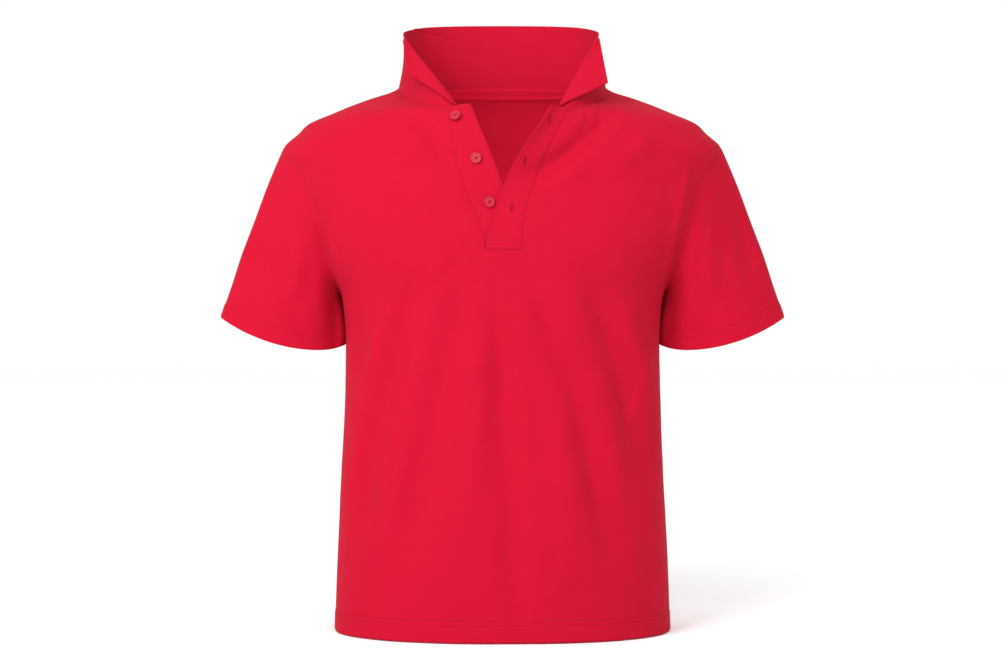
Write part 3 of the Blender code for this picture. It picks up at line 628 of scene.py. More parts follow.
def grid_lines(cells, length, fine_start=(), fine_end=(), extra=()):
    """Shares of a length: even lines, with finer ones beside its ends."""
    fine = ([d / length for d in fine_start] + [1 - d / length for d in fine_end]
            + [e / length for e in extra] + [0.0, 1.0])
    even = np.linspace(0, 1, cells + 1)
    near = 0.45 / cells
    kept = [s for s in even if all(abs(s - f) > near for f in fine)]
    return np.array(sorted(set(kept + fine)))


def placket_seam_edge(v, side):
    """The front panel's edge beside the placket, and straight down below it."""
    table = LEFT_SEAM if side < 0 else RIGHT_SEAM
    top_level = float(neck_edge(np.array(1.0), -1, side)[1])
    level = np.interp(v, [0, PLACKET_FOOT_SHARE, 1], [HEM_LEVEL, PLACKET_FOOT_LEVEL, top_level])
    across = np.abs(smooth_table(table, 1, level))
    return pairs(turn_from_across(across, level, -1), level)


def panel_half(facing, side, middle_edge, u, v):
    """Turn and level grid of one half of a panel, from its side to its middle edge."""
    outer = pairs(*side_edge(v, facing))
    top = pairs(*top_edge(u, facing, side))
    bottom = pairs(outer[0, 0] * (1 - u) + middle_edge[0, 0] * u, HEM_LEVEL)
    return fill_patch(bottom, top, outer, middle_edge, u, v)


def arcs(points, axis):
    """Distance run along a grid's lines."""
    steps = np.linalg.norm(np.diff(points, axis=axis), axis=-1)
    run = np.cumsum(steps, axis=axis)
    return np.concatenate([np.zeros_like(run.take([0], axis=axis)), run], axis=axis)


def grid_normals(points, closed=False):
    """Outward directions of a grid whose rows go up and whose columns go anticlockwise."""
    if closed:
        ring = np.concatenate([points[:, -2:-1], points, points[:, 1:2]], axis=1)
        along = np.gradient(ring, axis=1)[:, 1:-1]
    else:
        along = np.gradient(points, axis=1)
    return unit(np.cross(along, np.gradient(points, axis=0)))


def panel_shape(run, rise):
    """How a panel's face sinks at its two sides, its top and its hem."""
    return (sink(run, *SEAM_SINK) + sink(run[:, -1:] - run, *SEAM_SINK)
            + sink(rise[-1:] - rise, *SEAM_SINK) + hem_shape(rise, HEM_HEIGHT))


def hem_shape(distance, height):
    """Rounded hem edge and the shallow channels under its two rows of stitches."""
    channels = sum(sink(distance - height - row, *HEM_ROW_SINK) for row in HEM_ROWS)
    return channels + sink(distance, *HEM_EDGE_SINK)


def hem_shares(points, height):
    """The wall of each row of a grid as a share of the plain wall: thicker at the hem."""
    rise = arcs(points, 0).mean(axis=1)
    return 1 + (HEM_WALL / WALL - 1) * ease(height - HEM_LINES[0], height, rise)


def front_grid():
    """Points of the front panel, the cells of the placket's slot and the neck's first column."""
    hem_lines = [HEM_HEIGHT + line for line in HEM_LINES]
    v = grid_lines(*FRONT_ROWS, EDGE_LINES, EDGE_LINES + NECK_ROW_LINES, hem_lines)
    v = np.array(sorted(set(v[np.abs(v - PLACKET_FOOT_SHARE) > 0.002]) | {PLACKET_FOOT_SHARE}))
    u = grid_lines(*FRONT_COLUMNS, EDGE_LINES)
    left_edge, right_edge = placket_seam_edge(v, -1), placket_seam_edge(v, 1)
    left = panel_half(-1, -1, left_edge, u, v) * (-1, 1)
    right = panel_half(-1, 1, right_edge, u, v)[:, ::-1]
    share = np.linspace(0, 1, SLOT_COLUMNS + 1)[None, 1:-1, None]
    middle = left[:, -1:] * (1 - share) + right[:, :1] * share
    grid = np.concatenate([left, middle, right], axis=1)
    flat = body_point(grid[..., 0], grid[..., 1], -1)
    run, rise = arcs(flat, 1), arcs(flat, 0)
    lift = panel_shape(run, rise)
    beside_seam = run - run[:, len(u) - 1:len(u)]
    over_foot = ease(PLACKET_FOOT_LEVEL - TUCK_BELOW_FOOT, PLACKET_FOOT_LEVEL + TUCK_ABOVE_FOOT,
                     grid[..., 1])
    tucked = ease(TUCK_START, TUCK_END, grid[..., 1]) * over_foot * (beside_seam <= 0)
    lift += tucked * sink(beside_seam, TUCK_BESIDE_SHARE * UNDER_TUCK, TUCK_BESIDE_REACH)
    neck_column = int(np.searchsorted(u, FRONT_SHOULDER_SHARE))
    from_top = (rise[-1:] - rise)[:, neck_column:-neck_column]
    lift[:, neck_column:-neck_column] += sink(from_top - NECK_ROW, *NECK_ROW_SINK)
    points = body_point(grid[..., 0], grid[..., 1], -1, lift)
    slot = (len(u) - 1, len(u) + SLOT_COLUMNS - 1,
            int(np.argmin(np.abs(v - PLACKET_FOOT_SHARE))))
    return points, slot, neck_column


def back_grid():
    """Points of the back panel, right side to left, and the neck's first column."""
    v = grid_lines(*BACK_ROWS, EDGE_LINES, EDGE_LINES, [HEM_HEIGHT + line for line in HEM_LINES])
    u = grid_lines(*BACK_COLUMNS, EDGE_LINES)
    levels = HEM_LEVEL + (BACK_NECK_RISE - HEM_LEVEL) * v
    half = panel_half(1, 1, pairs(0.0, levels), u, v)
    grid = np.concatenate([half, half[:, -2::-1] * (-1, 1)], axis=1)
    flat = body_point(grid[..., 0], grid[..., 1], 1)
    lift = panel_shape(arcs(flat, 1), arcs(flat, 0))
    points = body_point(grid[..., 0], grid[..., 1], 1, lift)
    return points, int(np.searchsorted(u, BACK_SHOULDER_SHARE))


def sleeve_ring(side, ring_share):
    """Armhole points round from the underarm over the front, with the sleeve's first way."""
    front = ring_share <= 0.5
    high_share = np.where(front, ring_share * 2, 2 - ring_share * 2)
    start = np.zeros((len(ring_share), 3))
    away = np.zeros((len(ring_share), 3))
    for facing, chosen in ((-1, front), (1, ~front)):
        def edge(share):
            turn, level = side_edge(UNDERARM_SHARE + (1 - UNDERARM_SHARE) * share, facing)
            return side * turn, level
        share = high_share[chosen]
        turn, level = edge(share)
        small = 0.002
        ahead = body_point(*edge(np.clip(share + small, 0, 1)), facing)
        behind = body_point(*edge(np.clip(share - small, 0, 1)), facing)
        normal = surface_normal(body_point, turn, level, facing)
        start[chosen] = body_point(turn, level, facing)
        away[chosen] = unit(np.cross(ahead - behind, normal) * -facing * side)
    away[0] = (0, 0, 1)
    return start, away


def sleeve_grid(side):
    """Points of a sleeve: round from the underarm over the front, and down to the hem."""
    ring_share = np.linspace(0, 1, SLEEVE_COLUMNS + 1)[:-1]
    start, away = sleeve_ring(side, ring_share)
    high = (start[:, 2] - UNDERARM_LEVEL) / (SHOULDER_TIP_LEVEL - UNDERARM_LEVEL)
    # Low on the armhole the sleeve turns straight out from the body
    away[:, 0] += side * SLEEVE_SPREAD_AT_UNDERARM * ease(SLEEVE_SPREAD_TOP, 0.0, high)
    away = unit(away)
    pull = SLEEVE_START_AT_UNDERARM + (SLEEVE_START_OVER_SHOULDER
                                       - SLEEVE_START_AT_UNDERARM) * high
    angle = 2 * math.pi * ring_share
    outward = np.array([side * math.cos(SLEEVE_HEM_TILT), 0, math.sin(SLEEVE_HEM_TILT)])
    down = np.array([side * math.sin(SLEEVE_HEM_TILT), 0, -math.cos(SLEEVE_HEM_TILT)])
    middle = np.array(SLEEVE_HEM_MIDDLE) * (-side, 1, 1)
    sag = np.where(np.sin(angle) > 0, SLEEVE_HEM_SAG_FRONT, SLEEVE_HEM_SAG_BACK)
    end = (middle - SLEEVE_HEM_HALF_WIDTH * np.cos(angle)[:, None] * outward
           - SLEEVE_HEM_HALF_DEPTH * np.sin(angle)[:, None] * (0, 1, 0)
           - (sag * np.sin(angle) ** 2)[:, None] * (0, 0, 1))
    hem_lines = [SLEEVE_ROWS[1] - SLEEVE_HEM_HEIGHT - line for line in HEM_LINES]
    t = grid_lines(*SLEEVE_ROWS, EDGE_LINES, EDGE_LINES, hem_lines)[:, None, None]
    grid = curve(t, start, pull[:, None] * away, end, SLEEVE_END_PULL * down)
    # The side next to the body hangs closer to it, and a little higher at the hem
    inner = np.clip(np.cos(angle), 0, 1) ** 4
    t = t[..., 0]
    grid[..., 0] -= side * SLEEVE_INNER_REACH * inner * ease(*SLEEVE_INNER_REACH_SPAN, t)
    grid[..., 2] += SLEEVE_INNER_RISE * inner**2 * ease(*SLEEVE_INNER_RISE_SPAN, t)
    begun = ease(0.0, SLEEVE_FOLD_START, t)
    across = -np.abs(grid[..., 0])
    for facing, shift in ((-1, 0.0), (1, SLEEVE_BACK_SHIFT)):
        folds = fold_height(SLEEVE_FOLDS, across - shift, grid[..., 2])
        grid[..., 1] += facing * folds * ease(0.0, SIDE_FADE, facing * grid[..., 1]) * begun
    grid = np.concatenate([grid, grid[:, :1]], axis=1)
    grid = grid if side > 0 else grid[:, ::-1]
    grid = grid[::-1]
    outwards = grid_normals(grid, closed=True)
    rise = arcs(grid, 0)
    from_armhole = rise[-1:] - rise
    lift = sink(from_armhole, *SEAM_SINK) + hem_shape(rise, SLEEVE_HEM_HEIGHT)
    lift += HEM_STEP * ease(SLEEVE_HEM_HEIGHT, SLEEVE_HEM_HEIGHT - HEM_STEP_RUN, rise)
    turn = 2 * math.pi * np.linspace(0, 1, grid.shape[1])
    round_it = np.cos(turn)[None] * SLEEVE_TURN_LENGTH
    lift += waves(round_it, grid[..., 2], *SLEEVE_WAVES) * ease(0.0, SLEEVE_WAVE_START,
                                                                from_armhole)
    return grid + outwards * lift[..., None]


def under_lift(level):
    """Height of the lower placket over the body: on it at the neck, tucked under it below."""
    return UNDER_STEP - (UNDER_STEP + UNDER_TUCK) * ease(TUCK_START, TUCK_END, level)


def placket_grid(side):
    """Points of a placket band, from its foot to the neck; rows go up."""
    seam, edge = (LEFT_SEAM, UNDER_EDGE) if side < 0 else (RIGHT_SEAM, OVER_EDGE)
    rise = grid_lines(*BAND_ROWS, EDGE_LINES[:3], EDGE_LINES[:3])[:, None]
    share = grid_lines(*BAND_COLUMNS, EDGE_LINES[:3], EDGE_LINES[:3])[None, :]
    foot = PLACKET_FOOT_LEVEL + BAND_GAP
    seam_top = float(neck_edge(np.array(1.0), -1, side)[1])
    seam_level = foot + (seam_top - foot) * rise
    edge_level = foot + (edge[-1][0] - foot) * rise
    seam_across = smooth_table(seam, 1, seam_level) - side * BAND_GAP
    edge_across = smooth_table(edge, 1, edge_level)
    level = seam_level * (1 - share) + edge_level * share
    across = seam_across * (1 - share) + edge_across * share
    if side < 0:
        lift = under_lift(level)
    else:
        lift = OVER_STEP + OVER_EDGE_LIFT * share**2 * ease(OVER_LIFT_START, OVER_LIFT_FULL, level)
    points = body_point(turn_from_across(across, level, -1), level, -1, lift)
    from_seam = arcs(points, 1)
    from_edge = from_seam[:, -1:] - from_seam
    shape = (sink(from_edge, *BAND_EDGE_SINK) + sink(from_seam, *BAND_SEAM_SINK)
             + sink(from_edge - EDGE_ROW, *BAND_ROW_SINK)
             + sink(from_seam - SEAM_ROW, *BAND_ROW_SINK)
             + sink(arcs(points, 0), *BAND_FOOT_SINK))
    points = points if side < 0 else points[:, ::-1]
    shape = shape if side < 0 else shape[:, ::-1]
    return points + grid_normals(points) * shape[..., None]


def collar_base(share):
    """Points of the collar's lower edge, left end to right end, at shares of it."""
    place = share * COLLAR_STOPS[-1]
    points = np.zeros((len(share), 3))
    corners = {}
    for side in (-1, 1):
        turn, level = neck_edge(np.array([1.0]), -1, side)
        corners[side] = body_point(side * turn, level, -1)[0]
    for number, (start, end) in enumerate(zip(COLLAR_STOPS, COLLAR_STOPS[1:])):
        chosen = (place >= start) & (place <= end)
        t = (place[chosen] - start) / (end - start)
        if number in (0, 5):
            side, far = (-1, LEFT_COLLAR_END) if number == 0 else (1, RIGHT_COLLAR_END)
            level = corners[side][2] + COLLAR_END_RISE
            tip = body_point(turn_from_across(far, level, -1), level, -1)
            t = (1 - t if number == 0 else t)[:, None]
            points[chosen] = corners[side] * (1 - t) + tip * t
        else:
            facing = -1 if number in (1, 4) else 1
            side = -1 if number < 3 else 1
            along = 1 - t if number in (1, 3) else t
            turn, level = neck_edge(along, facing, side)
            points[chosen] = body_point(side * turn, level, facing)
    return points + (0, 0, COLLAR_SEAM_GAP)


def collar_grid():
    """Points of the collar: left folded corner, standing part, right folded corner."""
    share = np.linspace(0, 1, COLLAR_COLUMNS + 1)
    base = collar_base(share)
    middle = base.mean(axis=0) * (1, 1, 0)
    base = base - unit((base - middle) * (1, 1, 0)) * COLLAR_TUCK_IN - (0, 0, COLLAR_TUCK_DOWN)
    top = np.stack([smooth_table(COLLAR_TOP, column, share) for column in (1, 2, 3)], axis=-1)
    t = grid_lines(*COLLAR_ROWS, EDGE_LINES[:3], EDGE_LINES[:3])[:, None, None]
    stand = (1 - t) * base + t * top
    inward = unit(np.cross(np.gradient(stand, axis=1), np.gradient(stand, axis=0)))
    stand = stand + inward * COLLAR_BOW * np.sin(math.pi * t) * (
        ease(0, COLLAR_BOW_FADE, share) * ease(0, COLLAR_BOW_FADE, 1 - share))[:, None]
    behind = ease(0.0, SIDE_FADE, stand[..., 1])
    folds = fold_height(COLLAR_FOLDS, stand[..., 0], stand[..., 2]) * behind
    lumps = waves(share[None] * COLLAR_TURN_LENGTH, stand[..., 2], *COLLAR_WAVES)
    stand = stand + inward * (folds + lumps * np.sin(math.pi * t[:, :, 0]))[..., None]
    left = folded_corner(stand[:, 0], stand[:, 1], -inward[:, 0], LEFT_COLLAR_POINT, t)
    right = folded_corner(stand[:, -1], stand[:, -2], -inward[:, -1], RIGHT_COLLAR_POINT, t)
    return np.concatenate([left[:, ::-1], stand, right], axis=1)


def folded_corner(fold, inner, outward, tip, t):
    """Columns of a corner folded outward over the fold line, the roll first."""
    ahead = unit(fold - inner)
    low = (fold[0] - ahead[0] * CORNER_FOOT_BACK + outward[0] * CORNER_FOOT_OUT
           + (0, 0, CORNER_FOOT_UP))
    t = t[:, :, 0]
    outer_edge = (1 - t) * low + t * np.array(tip)
    columns = []
    for step in range(1, ROLL_COLUMNS):
        angle = math.pi * step / ROLL_COLUMNS
        columns.append(fold + ahead * FOLD_ROLL * math.sin(angle)
                       + outward * FOLD_ROLL * (1 - math.cos(angle)))
    start = fold + outward * 2 * FOLD_ROLL
    lifted = unit(np.cross(outer_edge - start, np.gradient(fold, axis=0)))
    lifted *= -np.sign(lifted[:, 1:2])
    fullness = CORNER_BELLY_LOW_SHARE + (1 - CORNER_BELLY_LOW_SHARE) * t
    for s in grid_lines(*CORNER_COLUMNS, (), EDGE_LINES[:3]):
        belly = CORNER_BELLY * math.sin(math.pi * s**CORNER_BELLY_PEAK) * fullness
        columns.append(start * (1 - s) + outer_edge * s + lifted * belly)
    return np.stack(columns, axis=1)


def tape_grid():
    """Points of the neck tape, along the inside of the back neck."""
    share = np.linspace(-TAPE_HALF_SHARE, TAPE_HALF_SHARE, TAPE_COLUMNS + 1)
    turn, level = neck_edge(1 - np.abs(share), 1, 1)
    turn = turn * -np.sign(share + 1e-9)
    distance = grid_lines(TAPE_ROWS, TAPE_LOW - TAPE_HIGH, EDGE_LINES[:1], EDGE_LINES[:1])
    drop = (TAPE_LOW + (TAPE_HIGH - TAPE_LOW) * distance)[:, None]
    top = body_point(turn, level, 1)
    # The tape hangs straight down the inner face of the cloth
    down = unit(body_point(turn, level - TAPE_SLOPE_DROP, 1) - top)[None]
    inward = -surface_normal(plain_body, turn, level - TAPE_SLOPE_DROP / 2, 1)[None]
    leaves = ease(TAPE_LEAVES_START, TAPE_LEAVES_FULL, distance)
    clearance = TAPE_CLEARANCE + (TAPE_CLEARANCE_TOP - TAPE_CLEARANCE) * leaves
    return top[None] + down * drop[..., None] + inward * (WALL + clearance)[:, None, None]


def clear_selection():
    """Nothing is selected and nothing is in edit mode."""
    if bpy.context.object and bpy.context.object.mode != "OBJECT":
        bpy.ops.object.mode_set(mode="OBJECT")
    bpy.ops.object.select_all(action="DESELECT")


def only(piece):
    """Select one piece alone and make it the active one."""
    clear_selection()
    piece.select_set(True)
    bpy.context.view_layer.objects.active = piece


def apply_modifiers(piece):
    """Turn a piece's modifiers into mesh."""
    only(piece)
    for modifier in list(piece.modifiers):
        bpy.ops.object.modifier_apply(modifier=modifier.name)


def cloth_sheet(name, points, wall, wall_shares=None, closed=False, slot=None):
    """Lay a plane grid on a grid of points and give it a wall on its inner side."""
    rows, columns = points.shape[0] - 1, points.shape[1] - 1
    clear_selection()
    bpy.ops.mesh.primitive_grid_add(x_subdivisions=columns, y_subdivisions=rows, size=1)
    piece = bpy.context.object
    piece.name = name
    data = piece.data
    data.name = name
    flat = np.zeros(len(data.vertices) * 3)
    data.vertices.foreach_get("co", flat)
    flat = flat.reshape(-1, 3)
    column = np.rint((flat[:, 0] + 0.5) * columns).astype(int)
    row = np.rint((flat[:, 1] + 0.5) * rows).astype(int)
    data.vertices.foreach_set("co", points[row, column].astype(np.float32).ravel())
    run = arcs(points, 1)
    run = run - run[:, columns // 2:columns // 2 + 1]
    cloth = np.stack([run, arcs(points, 0)], axis=-1)
    corner = np.zeros(len(data.loops), dtype=int)
    data.loops.foreach_get("vertex_index", corner)
    data.uv_layers[0].name = "cloth"
    data.uv_layers[0].data.foreach_set(
        "uv", cloth[row[corner], column[corner]].astype(np.float32).ravel())
    thickest = wall if wall_shares is None else wall * float(wall_shares.max())
    if wall_shares is not None:
        group = piece.vertex_groups.new(name="wall_share")
        shares = wall_shares * wall / thickest
        for number in range(rows + 1):
            group.add(np.flatnonzero(row == number).tolist(), float(shares[number]), "REPLACE")
    mesh = bmesh.new()
    mesh.from_mesh(data)
    if slot:
        mesh.verts.ensure_lookup_table()
        first, last, low = slot
        doomed = [f for f in mesh.faces
                  if all(first <= column[v.index] <= last and row[v.index] >= low
                         for v in f.verts)]
        bmesh.ops.delete(mesh, geom=doomed, context="FACES")
    if closed:
        bmesh.ops.remove_doubles(mesh, verts=mesh.verts, dist=0.00001)
    mesh.to_mesh(data)
    mesh.free()
    solidify = piece.modifiers.new("wall", "SOLIDIFY")
    solidify.thickness = thickest
    solidify.offset = -1
    if wall_shares is not None:
        solidify.vertex_group = "wall_share"
    apply_modifiers(piece)
    bpy.ops.object.shade_smooth_by_angle(angle=CLOTH_SMOOTH_ANGLE)
    return piece


def even_path(points, step):
    """Points at even steps along a line, with the line's direction at each."""
    steps = np.linalg.norm(np.diff(points, axis=0), axis=1)
    run = np.concatenate([[0], np.cumsum(steps)])
    places = np.arange(step / 2, run[-1], step)
    found = np.stack([np.interp(places, run, points[:, axis]) for axis in range(3)], axis=1)
    ahead = np.stack([np.interp(places + step / 4, run, points[:, axis])
                      - np.interp(places - step / 4, run, points[:, axis])
                      for axis in range(3)], axis=1)
    return found, unit(ahead), places / run[-1]


def sewing(name, rows, size=ROW_STITCH, across=False):
    """Rows of stitches in one piece of thread; a row is points of a line and ways out of it."""
    length, pitch, radius = size
    clear_selection()
    bpy.ops.mesh.primitive_uv_sphere_add(segments=8, ring_count=5, radius=1)
    stitch = bpy.context.object
    flat = np.zeros(len(stitch.data.vertices) * 3)
    stitch.data.vertices.foreach_get("co", flat)
    shape = flat.reshape(-1, 3)[:, [2, 0, 1]] * (length / 2, radius, radius)
    faces = [tuple(p.vertices) for p in stitch.data.polygons]
    data = stitch.data
    places, count = [], 0
    for line, outward in rows:
        found, ahead, shares = even_path(line, pitch)
        spots = shares * (len(line) - 1)
        low = np.clip(spots.astype(int), 0, len(line) - 2)
        out = unit(outward[low] + (outward[low + 1] - outward[low]) * (spots - low)[:, None])
        side = unit(np.cross(out, ahead))
        if across:
            ahead, side = side, ahead
        turned = (shape[None, :, 0:1] * ahead[:, None] + shape[None, :, 1:2] * side[:, None]
                  + shape[None, :, 2:3] * out[:, None])
        places.append(found[:, None] + turned)
        count += len(found)
    points = np.concatenate(places).reshape(-1, 3)
    offsets = np.arange(count) * len(shape)
    new = bpy.data.meshes.new(name)
    new.from_pydata(points.tolist(), [],
                    [tuple(i + int(o) for i in face) for o in offsets for face in faces])
    new.polygons.foreach_set("use_smooth", [True] * len(new.polygons))
    stitch.data = new
    stitch.name = name
    bpy.data.meshes.remove(data)
    dress(stitch, thread, "red_pique")
    return stitch


def edge_line(points, distance, edge, first=0, last=None, closed=False):
    """A line at a distance inside an edge of a grid of cloth, and the directions out of it."""
    outward = grid_normals(points, closed)
    if edge in ("left", "right"):
        points, outward = points.swapaxes(0, 1), outward.swapaxes(0, 1)
    if edge in ("top", "right"):
        points, outward = points[::-1], outward[::-1]
    points, outward = points[:, first:last], outward[:, first:last]
    run = arcs(points, 0)

    def at_distance(grid):
        return np.array([[np.interp(distance, run[:, k], grid[:, k, axis]) for axis in range(3)]
                         for k in range(grid.shape[1])])

    out = unit(at_distance(outward))
    return at_distance(points) + out * STITCH_LIFT, out


def hem_rows(points, height, closed=False):
    """The two rows of stitches that hold a hem."""
    return [edge_line(points, height + row, "bottom", closed=closed) for row in HEM_ROWS]


def seat_on(points, across, level):
    """Axes (across, up, out) on a grid of cloth at a spot of the front view."""
    gap = np.hypot(points[..., 0] - across, points[..., 2] - level)
    row, column = np.unravel_index(np.argmin(gap), gap.shape)
    out = grid_normals(points)[row, column]
    place = points[row, column]
    shift = np.array([across - place[0], 0.0, level - place[2]])
    shift[1] = -(shift @ out) / out[1]
    up = unit(np.array([0.0, 0.0, 1.0]) - out * out[2])
    axes = Matrix((np.cross(up, out), up, out)).transposed()
    return Matrix.Translation(place + shift) @ axes.to_4x4()


def in_seat(seat, spots):
    """Spots given on a seat's axes, as points."""
    return np.array([seat @ Vector(spot) for spot in spots])


def buttonhole(cloth, points, across, level, lean):
    """Cut a slit in the cloth; returns its rows of close stitches and its two end bars."""
    seat = seat_on(points, across, level) @ Matrix.Rotation(lean, 4, "Z")
    clear_selection()
    bpy.ops.mesh.primitive_cylinder_add(vertices=20, radius=0.5, depth=DRILL_DEPTH)
    cutter = bpy.context.object
    bpy.ops.transform.resize(value=(SLIT_WIDTH, SLIT_LENGTH, 1))
    bpy.ops.object.transform_apply(scale=True)
    cutter.matrix_world = seat
    cut = cloth.modifiers.new("slit", "BOOLEAN")
    cut.object = cutter
    apply_modifiers(cloth)
    bpy.data.objects.remove(cutter)
    out = np.array(seat.col[2][:3])[None]
    out = out.repeat(2, axis=0)
    half, beside = SLIT_LENGTH / 2, SLIT_WIDTH / 2 + SLIT_STITCH_BESIDE
    sides = [in_seat(seat, [(x, y, SLIT_STITCH_LIFT) for y in (-half, half)])
             for x in (-beside, beside)]
    past = half + SLIT_BAR_PAST_END
    bars = [in_seat(seat, [(x, y, SLIT_BAR_LIFT)
                           for x in (-SLIT_BAR_HALF_LENGTH, SLIT_BAR_HALF_LENGTH)])
            for y in (-past, past)]
    return [(line, out) for line in sides], [(line, out) for line in bars]


def button_seat(across, level):
    """Where a button sits: on the lower placket, facing out of it."""
    lift = float(under_lift(level)) + BUTTON_CLEARANCE
    step = 0.4 * BUTTON_RADIUS

    def seat(x, z):
        return Vector(body_point(turn_from_across(x, z, -1), z, -1, lift))

    middle = seat(across, level)
    side_way = (seat(across + step, level) - middle).normalized()
    facing_way = side_way.cross(seat(across, level + step) - middle).normalized()
    up_way = facing_way.cross(side_way)
    turned = Matrix((side_way, up_way, facing_way)).transposed()
    return Matrix.Translation(middle) @ turned.to_4x4()


def model_button():
    """A four-hole button with a raised rim, lying at the origin and facing up."""
    clear_selection()
    bpy.ops.mesh.primitive_cylinder_add(vertices=64, radius=BUTTON_RADIUS,
                                        depth=BUTTON_THICKNESS,
                                        location=(0, 0, BUTTON_THICKNESS / 2))
    bpy.ops.object.transform_apply(location=True)
    button = bpy.context.object
    # The upper face alone is selected, and inset ring by ring
    for face in button.data.polygons:
        face.select = face.normal.z > 0.9
    for edge in button.data.edges:
        edge.select = False
    for vertex in button.data.vertices:
        vertex.select = vertex.co.z > BUTTON_THICKNESS / 2
    bpy.ops.object.mode_set(mode="EDIT")
    bpy.ops.mesh.select_mode(type="FACE")
    for width, rise in BUTTON_INSETS:
        bpy.ops.mesh.inset(thickness=width, depth=rise)
    bpy.ops.object.mode_set(mode="OBJECT")
    rounding = button.modifiers.new("rounding", "BEVEL")
    rounding.width = BUTTON_ROUNDING
    rounding.segments = 3
    rounding.limit_method = "ANGLE"
    apply_modifiers(button)
    for across, up in ((-1, -1), (1, -1), (-1, 1), (1, 1)):
        clear_selection()
        bpy.ops.mesh.primitive_cylinder_add(
            vertices=20, radius=BUTTON_HOLE_RADIUS, depth=DRILL_DEPTH,
            location=(across * BUTTON_HOLE_SPREAD / 2, up * BUTTON_HOLE_SPREAD / 2, 0))
        drill = bpy.context.object
        hole = button.modifiers.new("hole", "BOOLEAN")
        hole.object = drill
        apply_modifiers(button)
        bpy.data.objects.remove(drill)
    only(button)
    bpy.ops.object.shade_smooth_by_angle(angle=BUTTON_SMOOTH_ANGLE)
    return button


class Wire:
    """A socket of a material that takes part in sums; numbers and other wires join it."""

    def __init__(self, kit, socket):
        self.kit = kit
        self.socket = socket

    def _sum(self, operation, first, second):
        return self.kit.node("ShaderNodeMath", {"operation": operation}, {0: first, 1: second})

    def __add__(self, other):
        return self._sum("ADD", self, other)

    __radd__ = __add__

    def __mul__(self, other):
        return self._sum("MULTIPLY", self, other)

    __rmul__ = __mul__

    def __pow__(self, other):
        return self._sum("POWER", self, other)

    def sine(self):
        return self._sum("SINE", self, 0.0)


class Finish:
    """A material and the nodes in it."""

    def __init__(self, name, **numbers):
        self.material = bpy.data.materials.new(name)
        self.material.use_nodes = True
        self.tree = self.material.node_tree
        self.shader = self.tree.nodes["Principled BSDF"]
        for socket, value in numbers.items():
            self.shader.inputs[socket.replace("_", " ")].default_value = value

    def node(self, kind, settings, inputs, output=0):
        """One node: its settings first, then the values or wires of its sockets."""
        made = self.tree.nodes.new(kind)
        for setting, value in settings.items():
            setattr(made, setting, value)
        for socket, value in inputs.items():
            if isinstance(value, Wire):
                self.tree.links.new(value.socket, made.inputs[socket])
            else:
                made.inputs[socket].default_value = value
        return Wire(self, made.outputs[output])

    def feed(self, socket, wire):
        self.tree.links.new(wire.socket, self.shader.inputs[socket])

    def cloth_place(self):
        """Distances across and up the flat cloth, in metres."""
        place = self.node("ShaderNodeUVMap", {"uv_map": "cloth"}, {})
        split = self.tree.nodes.new("ShaderNodeSeparateXYZ")
        self.tree.links.new(place.socket, split.inputs[0])
        return Wire(self, split.outputs["X"]), Wire(self, split.outputs["Y"])

    def speckle(self, scale, detail=2.0, roughness=0.5):
        """Soft random values around a half, fixed to the piece."""
        place = self.node("ShaderNodeTexCoord", {}, {}, output="Object")
        return self.node("ShaderNodeTexNoise", {}, {"Vector": place, "Scale": scale,
                                                    "Detail": detail, "Roughness": roughness})

    def shades(self, factor, dark, light):
        """A colour between two, by a factor."""
        return self.node("ShaderNodeMix", {"data_type": "RGBA"},
                         {0: factor, 6: (*dark, 1), 7: (*light, 1)}, output=2)

    def relief(self, height, distance, strength=1.0):
        bump = self.node("ShaderNodeBump", {}, {"Height": height, "Distance": distance,
                                                "Strength": strength})
        self.feed("Normal", bump)


def cotton(name):
    """The base of both knits: dull, with a faint warm sheen."""
    return Finish(name, Roughness=0.9, Specular_IOR_Level=0.06, Sheen_Weight=0.03,
                  Sheen_Roughness=0.5, Sheen_Tint=(1.0, 0.35, 0.42, 1))


def pique_finish(name, dark, light):
    """Knitted pique: staggered raised cells with a painted highlight, soft fuzz and a little
    unevenness of dye.
    """
    cloth = cotton(name)
    across, up = cloth.cloth_place()
    cell, course = math.pi / PIQUE_CELL_WIDTH, math.pi / PIQUE_CELL_HEIGHT
    raised = ((across * cell).sine() * (up * course).sine()) ** 2 + (
        (across * cell + QUARTER_TURN).sine() * (up * course + QUARTER_TURN).sine()) ** 2
    fuzz = cloth.speckle(2600.0)
    dye = cloth.speckle(22.0, detail=5.0, roughness=0.65)
    # The colour mixes the dye's uneven tone and the fuzz with a painted highlight on the raised
    # cells
    tone_and_painted_highlight = dye * 0.55 + raised * 0.25 + fuzz * 0.2
    cloth.feed("Base Color", cloth.shades(tone_and_painted_highlight, dark, light))
    cloth.feed("Roughness", fuzz * 0.16 + 0.78)
    cloth.relief(raised + fuzz * 0.6, KNIT_RELIEF, 0.7)
    return cloth.material


def rib_finish(name, dark, light):
    """Flat knit: fine upright ribs with a painted highlight on their crests, crossed by its
    courses.
    """
    cloth = cotton(name)
    across, up = cloth.cloth_place()
    ribs = (across * (math.pi / RIB_WIDTH)).sine() ** 2
    courses = (up * (math.pi / RIB_COURSE_HEIGHT)).sine() ** 2
    fuzz = cloth.speckle(2600.0)
    dye = cloth.speckle(26.0, detail=5.0, roughness=0.65)
    # The colour mixes the dye's uneven tone and the fuzz with a painted highlight on the rib
    # crests
    tone_and_painted_highlight = dye * 0.6 + ribs * 0.2 + fuzz * 0.2
    cloth.feed("Base Color", cloth.shades(tone_and_painted_highlight, dark, light))
    cloth.feed("Roughness", fuzz * 0.16 + 0.78)
    cloth.relief(ribs + courses * 0.35 + fuzz * 0.5, KNIT_RELIEF, 0.6)
    return cloth.material


